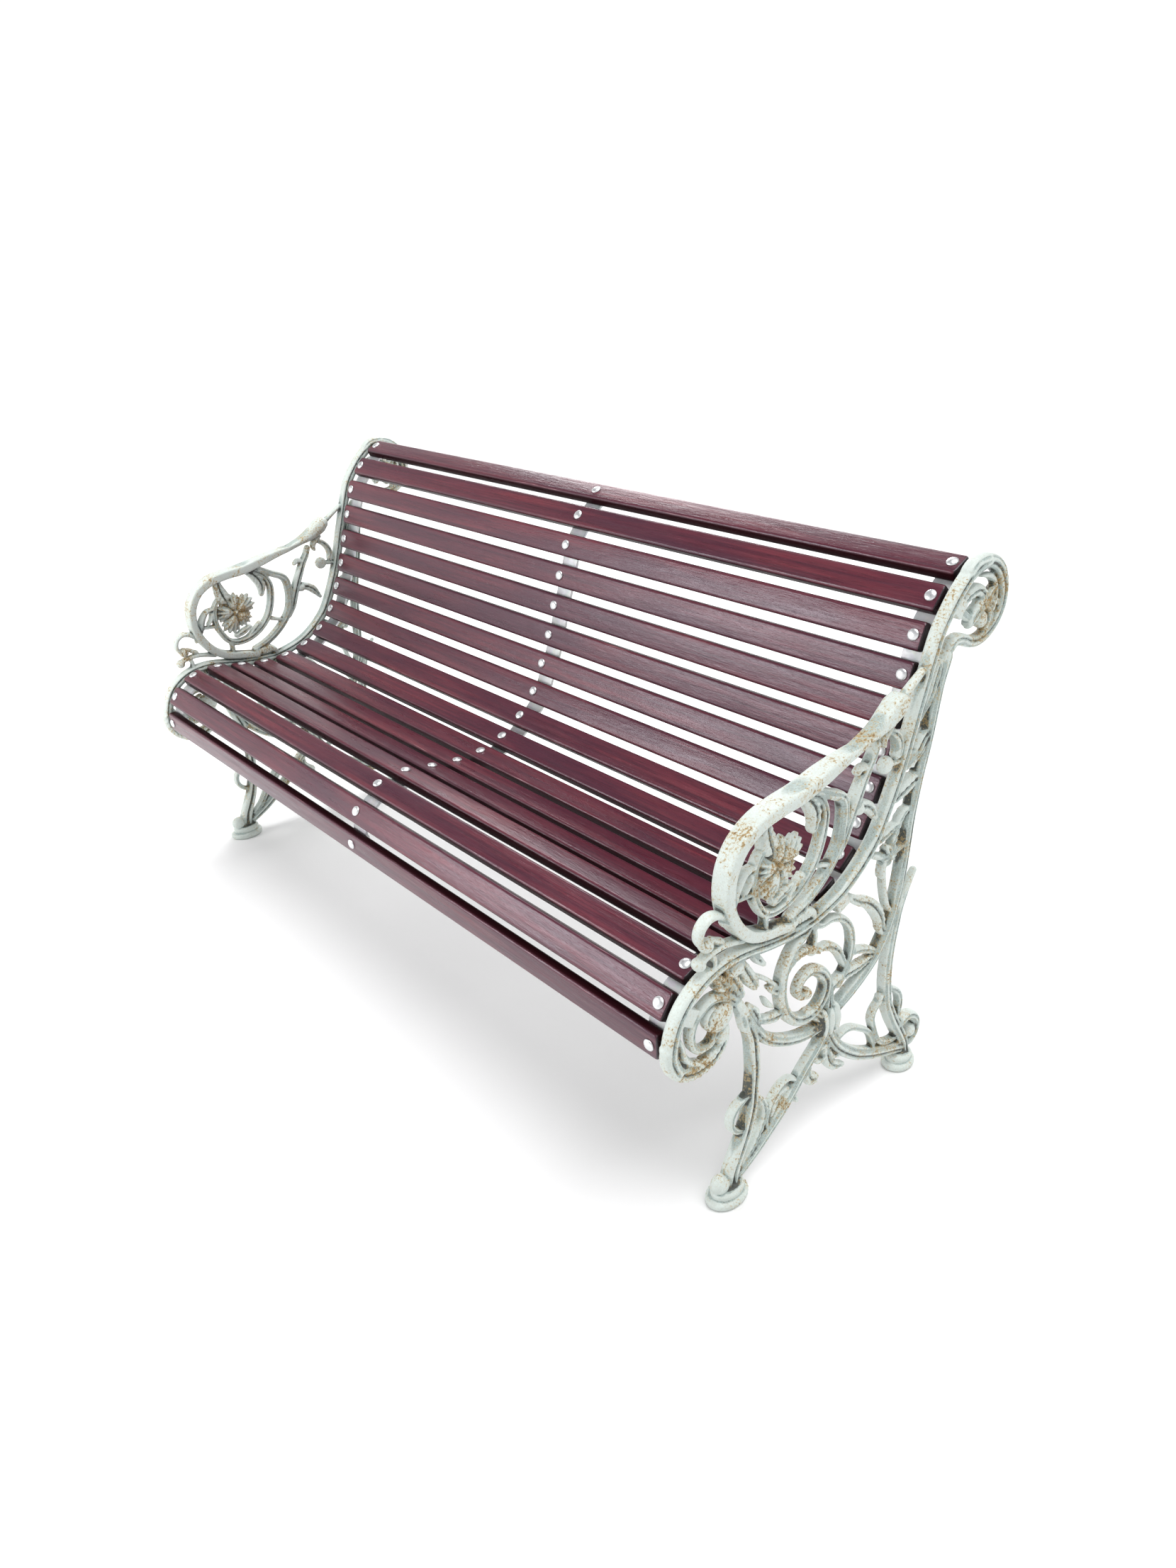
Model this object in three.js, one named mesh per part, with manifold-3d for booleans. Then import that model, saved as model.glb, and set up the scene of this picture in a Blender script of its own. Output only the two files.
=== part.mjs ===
// Cast-iron scroll-end garden bench with a curved slatted seat and back.
// Millimetres. X runs along the bench, Y from the front edge to the back, Z up.
// The origin is on the ground under the middle of the bench.
//
// The side casting is drawn in its own plane as [y, z] centre lines. Each member is
// a flat band of a given width along its centre line, with its own thickness in X.

import * as THREE from 'three';
import { mergeVertices } from 'three/addons/utils/BufferGeometryUtils.js';
import Module from 'manifold-3d';

const wasm = await Module();
wasm.setup();

// ---- driving dimensions ----

const clearance = 0.3;
const drawingShiftY = -5.1;

const slatCount = 17;
const slatLength = 1457;
const slatWidth = 40;
const slatThickness = 18;
const slatCornerRadius = 6;
const slatEdgeRadius = 5;
const firstSlatAt = 31;
const slatPitch = 53.6;

const strapWidth = 38;
const strapThickness = 5;
const boltLineX = 714;
const middleBoltX = 9;

const headRadius = 8.5;
const headHeight = 4.2;
const shankRadius = 3.9;
const holeRadius = 4.4;
const nutRadius = 7.2;
const nutHeight = 6.4;
const roundSides = 6;

const castingMidX = 744.5;
const railWidth = 18;
const railBehindSlats = 4.5;
const mainThickness = 21;
const scrollThickness = 15;
const leafThickness = 15;
const bossThickness = 19;
const longestStep = 70;
const sharpestTurn = THREE.MathUtils.degToRad(35);

const lugStations = [2, 6, 10, 14, 16];
const lugWidth = 26;
const lugThickness = 8;
const lugInnerX = 700;

// The middle of the slats' thickness, from behind the crest of the back down to below the front edge.
// The slats are set out along it at an even pitch.
const slatLine = new THREE.SplineCurve(toVectors([
  [278, 825], [251, 820], [226, 804], [204, 781], [183, 751], [169, 713], [146, 637], [129, 578],
  [108, 525], [79, 472], [24, 426], [-38, 405], [-92, 402], [-151, 409], [-204, 418], [-255, 412],
  [-293, 385], [-309, 350], [-310, 320], [-298, 294],
]));

// ---- materials ----

const castIron = new THREE.MeshStandardMaterial({ color: 0xc4d3c9, roughness: 0.6, metalness: 0.1 });
const slatWood = new THREE.MeshStandardMaterial({ color: 0x6b2f31, roughness: 0.4, metalness: 0 });
const galvanised = new THREE.MeshStandardMaterial({ color: 0xaab0b3, roughness: 0.45, metalness: 0.8 });
const zinc = new THREE.MeshStandardMaterial({ color: 0xc8cacc, roughness: 0.3, metalness: 0.9 });

// ---- solids ----

function toVectors(pairs) {
  return pairs.map(([y, z]) => new THREE.Vector2(y, z));
}

function solidOf(geometry) {
  const bare = geometry.clone();
  bare.deleteAttribute('normal');
  bare.deleteAttribute('uv');
  const merged = mergeVertices(bare);
  return new wasm.Manifold(new wasm.Mesh({
    numProp: 3,
    vertProperties: new Float32Array(merged.attributes.position.array),
    triVerts: new Uint32Array(merged.index.array),
  }));
}

function geometryOf(solid) {
  const mesh = solid.getMesh();
  const geometry = new THREE.BufferGeometry();
  geometry.setAttribute('position', new THREE.BufferAttribute(mesh.vertProperties, 3));
  geometry.setIndex(new THREE.BufferAttribute(mesh.triVerts, 1));
  geometry.computeVertexNormals();
  return geometry;
}

function mirroredInX(geometry) {
  const mirrored = geometry.clone();
  mirrored.scale(-1, 1, 1);
  const index = mirrored.index.array;
  for (let i = 0; i < index.length; i += 3) {
    [index[i], index[i + 1]] = [index[i + 1], index[i]];
  }
  mirrored.computeVertexNormals();
  return mirrored;
}

// An outline drawn as [y, z] becomes a plate that is thick along X, centred on middleX.
function plateAcrossX(outline, thickness, middleX) {
  const geometry = new THREE.ExtrudeGeometry(new THREE.Shape(outline), {
    depth: thickness,
    bevelEnabled: false,
  });
  geometry.translate(0, 0, middleX - thickness / 2);
  return geometry.applyMatrix4(new THREE.Matrix4().set(
    0, 0, 1, 0,
    1, 0, 0, 0,
    0, 1, 0, 0,
    0, 0, 0, 1,
  ));
}

// ---- stations: where each slat sits ----

// A place on the slat line: the point, the direction along it, and the way up out of a slat.
function placeOnLine(distance) {
  const u = THREE.MathUtils.clamp(distance / slatLine.getLength(), 0, 1);
  const along = slatLine.getTangentAt(u);
  return { at: slatLine.getPointAt(u), along, out: new THREE.Vector2(along.y, -along.x) };
}

function offsetPoint(place, along, out) {
  return place.at.clone().addScaledVector(place.along, along).addScaledVector(place.out, out);
}

// A station is the middle of a slat's top face.
const stations = [];
for (let i = 0; i < slatCount; i += 1) {
  const place = placeOnLine(firstSlatAt + i * slatPitch);
  place.at = offsetPoint(place, 0, slatThickness / 2);
  stations.push(place);
}

// Puts a shape made flat on XY, with +Z out of the slat, onto a station at a distance along X.
function onStation(geometry, place, x) {
  const lengthwise = new THREE.Vector3(1, 0, 0);
  const out = new THREE.Vector3(0, place.out.x, place.out.y);
  const across = new THREE.Vector3().crossVectors(out, lengthwise);
  const matrix = new THREE.Matrix4().makeBasis(lengthwise, across, out);
  matrix.setPosition(x, place.at.x, place.at.y);
  return geometry.clone().applyMatrix4(matrix);
}

// ---- bolts ----

// Mushroom head, shank and nut turned as one solid. The slat's top face is at zero.
function boltGeometry(gripDepth) {
  const underHead = clearance;
  const nutTop = -gripDepth - clearance;
  const profile = [
    [0, underHead + headHeight],
    [headRadius, underHead],
    [shankRadius, underHead],
    [shankRadius, nutTop],
    [nutRadius, nutTop],
    [nutRadius, nutTop - nutHeight],
    [0, nutTop - nutHeight],
  ].map(([radius, height]) => new THREE.Vector2(radius, height)).reverse();
  return new THREE.LatheGeometry(profile, roundSides).rotateX(Math.PI / 2);
}

function holeGeometry() {
  const longEnough = 120;
  return new THREE.CylinderGeometry(holeRadius, holeRadius, longEnough, roundSides).rotateX(Math.PI / 2);
}

const strapDepth = slatThickness + clearance + strapThickness;
const lugDepth = strapDepth + clearance + lugThickness;

function endBolt(index, side) {
  const grip = lugStations.includes(index + 1) ? lugDepth : strapDepth;
  return onStation(boltGeometry(grip), stations[index], side * boltLineX);
}

// ---- slats ----

function slatGeometry() {
  const halfLength = slatLength / 2 - slatEdgeRadius;
  const halfWidth = slatWidth / 2 - slatEdgeRadius;
  const corner = slatCornerRadius - slatEdgeRadius;
  const outline = new THREE.Shape();
  outline.moveTo(-halfLength + corner, -halfWidth);
  outline.lineTo(halfLength - corner, -halfWidth);
  outline.absarc(halfLength - corner, -halfWidth + corner, corner, -Math.PI / 2, 0);
  outline.absarc(halfLength - corner, halfWidth - corner, corner, 0, Math.PI / 2);
  outline.absarc(-halfLength + corner, halfWidth - corner, corner, Math.PI / 2, Math.PI);
  outline.absarc(-halfLength + corner, -halfWidth + corner, corner, Math.PI, Math.PI * 1.5);
  const geometry = new THREE.ExtrudeGeometry(outline, {
    depth: slatThickness - 2 * slatEdgeRadius,
    curveSegments: 1,
    bevelThickness: slatEdgeRadius,
    bevelSize: slatEdgeRadius,
    bevelSegments: 1,
  });
  return geometry.translate(0, 0, slatEdgeRadius - slatThickness);
}

function slat(place) {
  let blank = solidOf(slatGeometry());
  for (const x of [-boltLineX, middleBoltX, boltLineX]) {
    blank = blank.subtract(solidOf(holeGeometry().translate(x, 0, 0)));
  }
  return onStation(geometryOf(blank), place, 0);
}

// ---- straps ----

// The strap lies flat under each slat and bends in the gaps between them.
function strapOutline() {
  const upper = [];
  const lower = [];
  stations.forEach((place, index) => {
    const next = stations[Math.min(index + 1, slatCount - 1)];
    const previous = stations[Math.max(index - 1, 0)];
    const hollowSide = previous.along.cross(next.along) < 0;
    const reach = slatWidth / 2 + (hollowSide ? 1 : -3);
    for (const along of [-reach, reach]) {
      upper.push(offsetPoint(place, along, -slatThickness - clearance));
      lower.push(offsetPoint(place, along, -strapDepth));
    }
  });
  return upper.concat(lower.reverse());
}

function strapBlank(x) {
  return solidOf(plateAcrossX(strapOutline(), strapWidth, x));
}

function endStrap(side) {
  let strap = strapBlank(side * boltLineX);
  for (const place of stations) {
    strap = strap.subtract(solidOf(onStation(holeGeometry(), place, side * boltLineX)));
  }
  return geometryOf(strap);
}

// The middle strap carries its own row of bolts.
function middleStrap() {
  let strap = strapBlank(middleBoltX);
  for (const place of stations) {
    strap = strap.add(solidOf(onStation(boltGeometry(strapDepth - clearance - 1), place, middleBoltX)));
  }
  return geometryOf(strap);
}

// ---- side casting ----

function widthAt(widths, u) {
  const list = [widths].flat();
  const position = u * (list.length - 1);
  const before = Math.floor(position);
  const after = Math.min(before + 1, list.length - 1);
  return THREE.MathUtils.lerp(list[before], list[after], position - before);
}

// Fractions of a curve's length, few where it runs straight and closer together where it bends.
function fractionsAlong(curve) {
  const fineSteps = 160;
  const effort = [0];
  for (let i = 1; i <= fineSteps; i += 1) {
    const turn = curve.getTangentAt((i - 1) / fineSteps).cross(curve.getTangentAt(i / fineSteps));
    effort.push(effort[i - 1] + curve.getLength() / fineSteps / longestStep + Math.abs(turn) / sharpestTurn);
  }
  const count = Math.max(2, Math.round(effort[fineSteps]));
  const fractions = [];
  for (let i = 0; i <= count; i += 1) {
    const wanted = effort[fineSteps] * i / count;
    fractions.push(effort.findIndex((value) => value >= wanted - 1e-9) / fineSteps);
  }
  return fractions;
}

// A band along a centre line. On the inside of a tight bend it is held short of the bend's centre.
function bandOutline(points, widths) {
  const curve = new THREE.SplineCurve(points);
  const nearby = 0.02;
  const left = [];
  const right = [];
  for (const u of fractionsAlong(curve)) {
    const at = curve.getPointAt(u);
    const along = curve.getTangentAt(u);
    const before = Math.max(0, u - nearby);
    const after = Math.min(1, u + nearby);
    const bend = curve.getTangentAt(before).cross(curve.getTangentAt(after));
    const turn = bend / (curve.getLength() * (after - before));
    const bendRadius = 0.85 / Math.max(Math.abs(turn), 1e-6);
    const half = widthAt(widths, u) / 2;
    const normal = new THREE.Vector2(-along.y, along.x);
    left.push(at.clone().addScaledVector(normal, turn > 0 ? Math.min(half, bendRadius) : half));
    right.push(at.clone().addScaledVector(normal, turn < 0 ? -Math.min(half, bendRadius) : -half));
  }
  return left.concat(right.reverse());
}

function band(points, widths, thickness) {
  return solidOf(plateAcrossX(bandOutline(toVectors(points), widths), thickness, castingMidX));
}

const main = (points, widths) => band(points, widths, mainThickness);
const scroll = (points, widths) => band(points, widths, scrollThickness);
const leaf = (points, widths) => band(points, widths, leafThickness);

function boss(y, z, radius, thickness = bossThickness, sides = 9) {
  const geometry = new THREE.CylinderGeometry(radius, radius, thickness, sides).rotateZ(Math.PI / 2);
  return solidOf(geometry.translate(castingMidX, y, z));
}

function ball(y, z, radius) {
  return solidOf(new THREE.SphereGeometry(radius, 7, 5).translate(castingMidX, y, z));
}

// The moulded rail that the slats run up to, from the crest to the front edge.
function rail() {
  const points = [];
  const railPoints = 16;
  for (let i = 0; i <= railPoints; i += 1) {
    const place = placeOnLine(slatLine.getLength() * i / railPoints);
    points.push(offsetPoint(place, 0, slatThickness / 2 - railBehindSlats));
  }
  const outline = bandOutline(points, railWidth);
  return [solidOf(plateAcrossX(outline, mainThickness + 1, castingMidX))];
}

function backVolute() {
  return [
    main([[228, 814], [245, 827], [268, 830], [292, 824], [313, 808], [326, 785], [328, 760], [318, 738],
      [300, 724], [277, 718], [255, 721], [238, 728], [218, 731], [204, 718]], [18, 20, 19, 17, 15, 16]),
    scroll([[222, 778], [240, 790], [265, 790], [284, 776], [305, 770], [328, 758]], [12, 15, 13, 10, 6]),
    scroll([[206, 790], [222, 778], [236, 764], [250, 750]], [14, 12, 12, 10]),
    scroll([[250, 750], [262, 764], [282, 768], [297, 757], [299, 741], [289, 726]], [10, 12, 11, 9]),
    boss(278, 750, 14),
    leaf([[262, 808], [288, 803], [303, 790], [307, 772], [304, 756]], [6, 10, 9, 7, 8]),
  ];
}

// The back stile runs down behind the rail, round under the seat and up into the front scroll.
function stile() {
  return [
    main([[206, 720], [196, 692], [190, 668], [181, 600], [169, 540], [162, 480], [160, 420], [156, 372],
      [145, 325], [132, 295], [112, 268], [85, 248], [55, 232], [25, 220], [5, 210], [-20, 208],
      [-50, 212], [-80, 222], [-110, 238], [-135, 258], [-155, 283], [-172, 310], [-188, 335],
      [-203, 356], [-222, 371], [-245, 376]], [20, 18]),
    scroll([[-240, 376], [-260, 372], [-275, 360], [-281, 342], [-278, 324], [-268, 311], [-252, 306]],
      [17, 15, 12, 9]),
    scroll([[-252, 306], [-236, 314], [-226, 332]], [9, 10, 12]),
    boss(-227, 341, 20),
  ];
}

function frontVolute() {
  return [
    main([[-318, 336], [-316, 316], [-305, 298], [-285, 284], [-262, 279], [-238, 285], [-222, 302],
      [-219, 322]], [18, 20, 22, 20, 16]),
    leaf([[-312, 352], [-298, 334], [-290, 312], [-276, 294]], [14, 15, 12, 9]),
  ];
}

function frontLeg() {
  return [
    main([[-172, 304], [-160, 275], [-155, 245], [-152, 210], [-152, 180], [-153, 150], [-158, 125],
      [-165, 100], [-175, 75], [-185, 50], [-191, 20]], [18, 20, 20, 22, 26, 30]),
    scroll([[-158, 172], [-172, 167], [-184, 162], [-192, 149], [-191, 133], [-180, 120], [-163, 112]],
      [8, 10, 10, 9]),
    leaf([[-146, 154], [-134, 146], [-125, 131], [-123, 110], [-131, 90], [-147, 66], [-170, 50]],
      [14, 16, 14, 10]),
    ball(-207, 34, 15),
  ];
}

function rearLeg() {
  return [
    main([[199, 384], [182, 362], [168, 335], [160, 305], [155, 270], [154, 235], [157, 200], [166, 160],
      [177, 137], [190, 113], [206, 88], [221, 64], [232, 42], [236, 16]], [8, 16, 19, 20, 21, 24]),
    main([[152, 300], [158, 340], [160, 380]], [20, 16]),
    leaf([[152, 182], [145, 170], [134, 160], [131, 146], [136, 128], [144, 110], [154, 92], [170, 78],
      [192, 70], [210, 70]], [10, 10]),
    scroll([[164, 184], [182, 175], [197, 162], [205, 142], [204, 122], [198, 106]], [10, 12, 10]),
    scroll([[203, 92], [216, 92], [234, 96], [252, 87], [264, 68], [263, 48], [252, 36], [238, 36]], [16, 14]),
    boss(246, 58, 12),
  ];
}

// Two diagonal stretchers meet at a ribbed clasp under the seat.
function stretchers() {
  return [
    scroll([[12, 196], [-8, 170], [-38, 142], [-62, 116], [-88, 92], [-115, 72], [-140, 54], [-176, 32]],
      [20, 23, 23, 20]),
    scroll([[12, 190], [35, 152], [62, 124], [95, 98], [130, 78], [165, 62], [200, 48], [232, 34]],
      [20, 23, 23, 20]),
    leaf([[-114, 76], [-115, 100], [-108, 128], [-90, 144], [-70, 146], [-54, 134], [-46, 118]], [9, 9]),
    leaf([[36, 140], [44, 156], [62, 160], [80, 155], [100, 142], [120, 128], [134, 110], [142, 86], [138, 72]],
      [9, 10, 9]),
    leaf([[-66, 120], [-54, 106], [-44, 92]], [10, 12, 5]),
    leaf([[-2, 186], [-12, 158], [-4, 140], [8, 138], [15, 150], [8, 162], [-6, 160]], [8, 7]),
    leaf([[-22, 154], [-24, 132], [-14, 114], [3, 107]], [9, 14, 20]),
    leaf([[18, 176], [18, 150], [28, 122], [44, 104], [64, 97]], [8, 16, 18, 8]),
  ];
}

function clasp() {
  const ribs = [-13, 0, 13];
  const parts = ribs.map((offset) => band([[offset + 10, 232], [offset + 13, 184]], [9, 12, 9], 28));
  parts.push(band([[-8, 210], [34, 206]], [40, 44, 40], 22));
  return parts;
}

// The arm leaves the back rail as an acanthus leaf and curls down into a wide ring.
function arm() {
  return [
    main([[152, 704], [125, 690], [100, 672], [75, 654], [45, 642], [15, 636], [-20, 630], [-60, 621],
      [-100, 612], [-140, 608], [-175, 601], [-205, 584], [-223, 557], [-228, 527], [-224, 500],
      [-212, 476], [-196, 456], [-176, 441], [-150, 432], [-120, 426], [-90, 420]],
    [14, 23, 25, 24, 22, 18, 17, 17, 17, 17, 17]),
    leaf([[112, 660], [96, 648], [82, 646]], [20, 18, 12]),
    leaf([[160, 706], [150, 697], [140, 693]], [18, 16, 10]),
    scroll([[76, 640], [95, 634], [108, 622], [113, 606], [108, 592]], [11, 10]),
    boss(88, 589, 14),
    scroll([[88, 589], [116, 587]], [10, 10]),
  ];
}

function armScrolls() {
  return [
    scroll([[-102, 610], [-84, 600], [-69, 584], [-62, 566], [-66, 546]], [8, 16, 24, 14]),
    scroll([[-78, 606], [-62, 596], [-50, 584], [-42, 565], [-43, 542], [-48, 520], [-58, 498], [-74, 480],
      [-93, 467], [-115, 459], [-138, 458], [-155, 466], [-167, 482], [-175, 500], [-178, 520],
      [-175, 540], [-167, 554], [-154, 558]], [12, 13, 14, 13, 12, 10]),
    scroll([[-62, 604], [-34, 589], [-14, 580], [-3, 568], [1, 545], [0, 525], [-4, 506], [-14, 488],
      [-32, 468], [-54, 451], [-77, 439], [-102, 430]], [14, 15]),
    leaf([[-54, 494], [-18, 480]], [8, 8]),
    leaf([[-150, 462], [-150, 434]], [8, 8]),
    leaf([[-226, 478], [-213, 500], [-206, 520], [-194, 536], [-176, 541]], [8, 14, 15, 9]),
    leaf([[-206, 504], [-174, 502]], [7, 7]),
    leaf([[-156, 608], [-158, 584], [-150, 556]], [10, 22, 30]),
    scroll([[58, 632], [52, 613], [42, 598], [34, 580], [22, 555], [13, 532], [4, 508], [-12, 486]],
      [12, 15, 16, 14]),
    leaf([[14, 545], [35, 546], [58, 536], [76, 514]], [10, 17, 16, 9]),
    ball(31, 545, 9),
  ];
}

function flower() {
  const centre = [-130, 524];
  const petals = 5;
  const parts = [boss(centre[0], centre[1], 17, 26)];
  for (let i = 0; i < petals; i += 1) {
    const angle = (i / petals) * 2 * Math.PI + 0.5;
    const reach = (radius) => [centre[0] + radius * Math.cos(angle), centre[1] + radius * Math.sin(angle)];
    parts.push(band([reach(4), reach(22), reach(39)], [14, 28, 18], 24));
  }
  return parts;
}

function frontCurl() {
  return [
    leaf([[-214, 482], [-230, 492], [-242, 499], [-256, 500], [-268, 491], [-271, 476], [-263, 463]], [9, 8]),
    ball(-256, 463, 9.5),
    leaf([[-192, 441], [-212, 447], [-236, 450], [-258, 447], [-268, 441]], [8, 8]),
    ball(-267, 440, 8.5),
    leaf([[-246, 444], [-244, 424]], [7, 8]),
    scroll([[-100, 428], [-58, 420]], [15, 17]),
    leaf([[-66, 430], [-52, 412]], [9, 8]),
  ];
}

function seatRings() {
  return [
    scroll([[-50, 404], [-66, 390], [-86, 377], [-101, 352], [-105, 322], [-99, 293], [-86, 268], [-65, 249],
      [-40, 241], [-18, 246], [-4, 262], [-2, 285], [-18, 308], [-42, 320], [-60, 315], [-68, 300],
      [-60, 286], [-44, 280]], [15, 17, 17, 18, 19, 14, 10]),
    scroll([[-100, 340], [-88, 354], [-70, 360], [-48, 357], [-26, 344]], [9, 12, 8]),
    leaf([[-44, 400], [-28, 388], [-4, 388], [22, 377], [42, 355], [51, 327], [49, 300], [38, 280], [28, 258]],
      [11, 12]),
    leaf([[-30, 350], [-4, 344], [16, 328], [30, 308], [42, 286]], [8, 14, 12, 9]),
    leaf([[-44, 362], [-42, 380], [-48, 402]], [8, 8]),
    leaf([[0, 248], [8, 262], [38, 272], [75, 271], [112, 272]], [10, 17, 17, 10]),
    leaf([[48, 302], [72, 300], [92, 292], [118, 278]], [8, 13, 11, 9]),
    leaf([[-40, 246], [-20, 236], [-8, 226], [-2, 212]], [10, 22, 20, 10]),
    leaf([[8, 262], [10, 240], [8, 216]], [10, 16, 12]),
  ];
}

function stileBranches() {
  return [
    leaf([[34, 408], [56, 391], [80, 378], [102, 358], [118, 335], [126, 312], [138, 300]], [12, 16, 22, 12]),
    leaf([[112, 410], [120, 380], [132, 350], [146, 335]], [8, 8]),
    leaf([[186, 706], [180, 694], [175, 676], [166, 656], [150, 636]], [24, 24, 18, 12, 10]),
    leaf([[186, 620], [168, 600], [152, 582], [128, 570]], [14, 26, 24, 14]),
    leaf([[175, 560], [160, 546], [140, 540], [112, 526]], [14, 22, 22, 14]),
    leaf([[166, 500], [150, 500], [136, 486], [128, 462], [120, 440]], [8, 13, 12, 12, 12]),
    leaf([[136, 486], [112, 478], [92, 474], [74, 474]], [10, 15, 14, 12]),
    boss(120, 440, 18, 17),
    leaf([[120, 440], [140, 442], [162, 446]], [16, 12]),
    leaf([[120, 440], [96, 446], [66, 462]], [14, 10]),
    leaf([[112, 440], [110, 420], [112, 405]], [14, 9]),
  ];
}

function frontSprays() {
  return [
    leaf([[-242, 412], [-232, 400], [-222, 386], [-210, 374]], [10, 14, 14, 10]),
    leaf([[-218, 416], [-212, 398], [-200, 378], [-186, 352]], [12, 18, 18, 14]),
    leaf([[-196, 416], [-186, 396], [-170, 370], [-157, 352]], [12, 18, 20, 14]),
    leaf([[-168, 408], [-158, 396], [-145, 382]], [10, 12, 8]),
    leaf([[-92, 282], [-114, 281], [-138, 288], [-150, 296]], [10, 16, 12, 10]),
    leaf([[-98, 318], [-116, 326], [-130, 336]], [10, 13, 7]),
    leaf([[-150, 290], [-158, 310], [-170, 326]], [12, 17, 14]),
    leaf([[-164, 372], [-150, 364], [-132, 349], [-112, 328], [-104, 318]], [6, 6]),
  ];
}

function foot(y, halfX, halfY) {
  const soleHeight = 12;
  const padHeight = 25;
  const disc = (scale, top) => new THREE.CylinderGeometry(1, 1, top, 14).rotateX(Math.PI / 2)
    .scale(halfX * scale, halfY * scale, 1).translate(castingMidX, y, top / 2);
  return [solidOf(disc(1, soleHeight)), solidOf(disc(0.8, padHeight))];
}

// Lugs turn in under the strap, and the slat bolts pass through them.
function lugs() {
  const parts = [];
  const lugReach = castingMidX - lugInnerX;
  for (const number of lugStations) {
    const place = stations[number - 1];
    const plate = new THREE.BoxGeometry(lugReach, lugWidth, lugThickness);
    plate.translate(lugInnerX + lugReach / 2 - boltLineX, 0, -lugDepth + lugThickness / 2);
    const hub = new THREE.BoxGeometry(mainThickness - 4, lugWidth, lugDepth - railBehindSlats);
    hub.translate(castingMidX - boltLineX, 0, -(lugDepth + railBehindSlats) / 2);
    const lug = solidOf(onStation(plate, place, boltLineX)).add(solidOf(onStation(hub, place, boltLineX)));
    parts.push(lug.subtract(solidOf(onStation(holeGeometry(), place, boltLineX))));
  }
  return parts;
}

function sideCasting() {
  const parts = [
    rail(), backVolute(), stile(), frontVolute(), frontLeg(), rearLeg(), stretchers(), clasp(), arm(),
    armScrolls(), flower(), frontCurl(), seatRings(), stileBranches(), frontSprays(),
    foot(-191, 25, 36), foot(230, 24, 30), lugs(),
  ].flat();
  return parts.reduce((whole, part) => whole.add(part));
}

// ---- assembly ----

const bench = new THREE.Group();
bench.position.y = drawingShiftY;

function place(name, geometry, material) {
  const mesh = new THREE.Mesh(geometry, material);
  mesh.name = name;
  bench.add(mesh);
}

const casting = geometryOf(sideCasting());
place('right_casting', casting, castIron);
place('left_casting', mirroredInX(casting), castIron);
place('right_strap', endStrap(1), galvanised);
place('left_strap', endStrap(-1), galvanised);
place('middle_strap', middleStrap(), galvanised);
stations.forEach((station, index) => {
  const number = String(index + 1).padStart(2, '0');
  place(`slat_${number}`, slat(station), slatWood);
  place(`right_bolt_${number}`, endBolt(index, 1), zinc);
  place(`left_bolt_${number}`, endBolt(index, -1), zinc);
});

export default bench;
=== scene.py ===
import math

import bmesh
import bpy
import numpy as np
from mathutils import Matrix, Vector


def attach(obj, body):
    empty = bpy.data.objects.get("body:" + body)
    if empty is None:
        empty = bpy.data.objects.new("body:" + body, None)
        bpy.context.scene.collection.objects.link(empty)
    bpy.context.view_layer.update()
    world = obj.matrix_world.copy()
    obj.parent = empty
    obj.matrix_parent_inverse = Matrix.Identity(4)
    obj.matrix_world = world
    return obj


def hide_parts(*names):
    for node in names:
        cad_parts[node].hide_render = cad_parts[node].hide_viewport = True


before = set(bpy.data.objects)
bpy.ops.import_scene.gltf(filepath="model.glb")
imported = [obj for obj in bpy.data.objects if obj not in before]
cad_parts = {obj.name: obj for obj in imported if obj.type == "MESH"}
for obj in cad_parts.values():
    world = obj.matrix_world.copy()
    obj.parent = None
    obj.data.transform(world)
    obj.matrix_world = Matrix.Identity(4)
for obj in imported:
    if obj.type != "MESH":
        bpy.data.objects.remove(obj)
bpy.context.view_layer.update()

# The bench is drawn in millimetres. MM turns them into metres, and SHIFT_Y carries the drawing's y to
# the frame's. The camera, the lights, the floor and the voxels are in metres.
MM = 0.001
SHIFT_Y = -5.1

SLAT_COUNT = 17
SLAT_LENGTH = 1457
SLAT_WIDTH = 40
SLAT_THICKNESS = 18
FIRST_SLAT_AT = 31
SLAT_PITCH = 53.6
BOLT_LINE_X = 714
MIDDLE_BOLT_X = 9
STRAP_WIDTH = 38
STRAP_THICKNESS = 5
CLEARANCE = 0.3
CASTING_X = 744.5
LUG_THICKNESS = 8
LUG_STATIONS = (2, 6, 10, 14, 16)
BOLT_ROWS = (("left", -BOLT_LINE_X), ("middle", MIDDLE_BOLT_X), ("right", BOLT_LINE_X))

# The middle of the slats' thickness, from behind the crest of the back to below the front edge.
SLAT_LINE = [
    (278, 825), (251, 820), (226, 804), (204, 781), (183, 751), (169, 713), (146, 637), (129, 578),
    (108, 525), (79, 472), (24, 426), (-38, 405), (-92, 402), (-151, 409), (-204, 418), (-255, 412),
    (-293, 385), (-309, 350), (-310, 320), (-298, 294),
]

# ---- making objects ----

def new_mesh(name, verts, faces):
    data = bpy.data.meshes.new(name)
    data.from_pydata(verts, [], faces)
    return data


def in_scene(name, data):
    """A new object with this data, linked into the scene."""
    thing = bpy.data.objects.new(name, data)
    bpy.context.scene.collection.objects.link(thing)
    return thing


# ---- camera, light and floor ----

CAMERA_PLACE = Vector((1.4688, -1.0855, 1.2154))
CAMERA_AZIMUTH = math.radians(49.045)
CAMERA_ELEVATION = math.radians(27.184)
CAMERA_ROLL = math.radians(1.377)
CAMERA_LENS = 25.077
CAMERA_SENSOR = 36
CAMERA_SHIFT = (0.00557, 0.01291)


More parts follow.
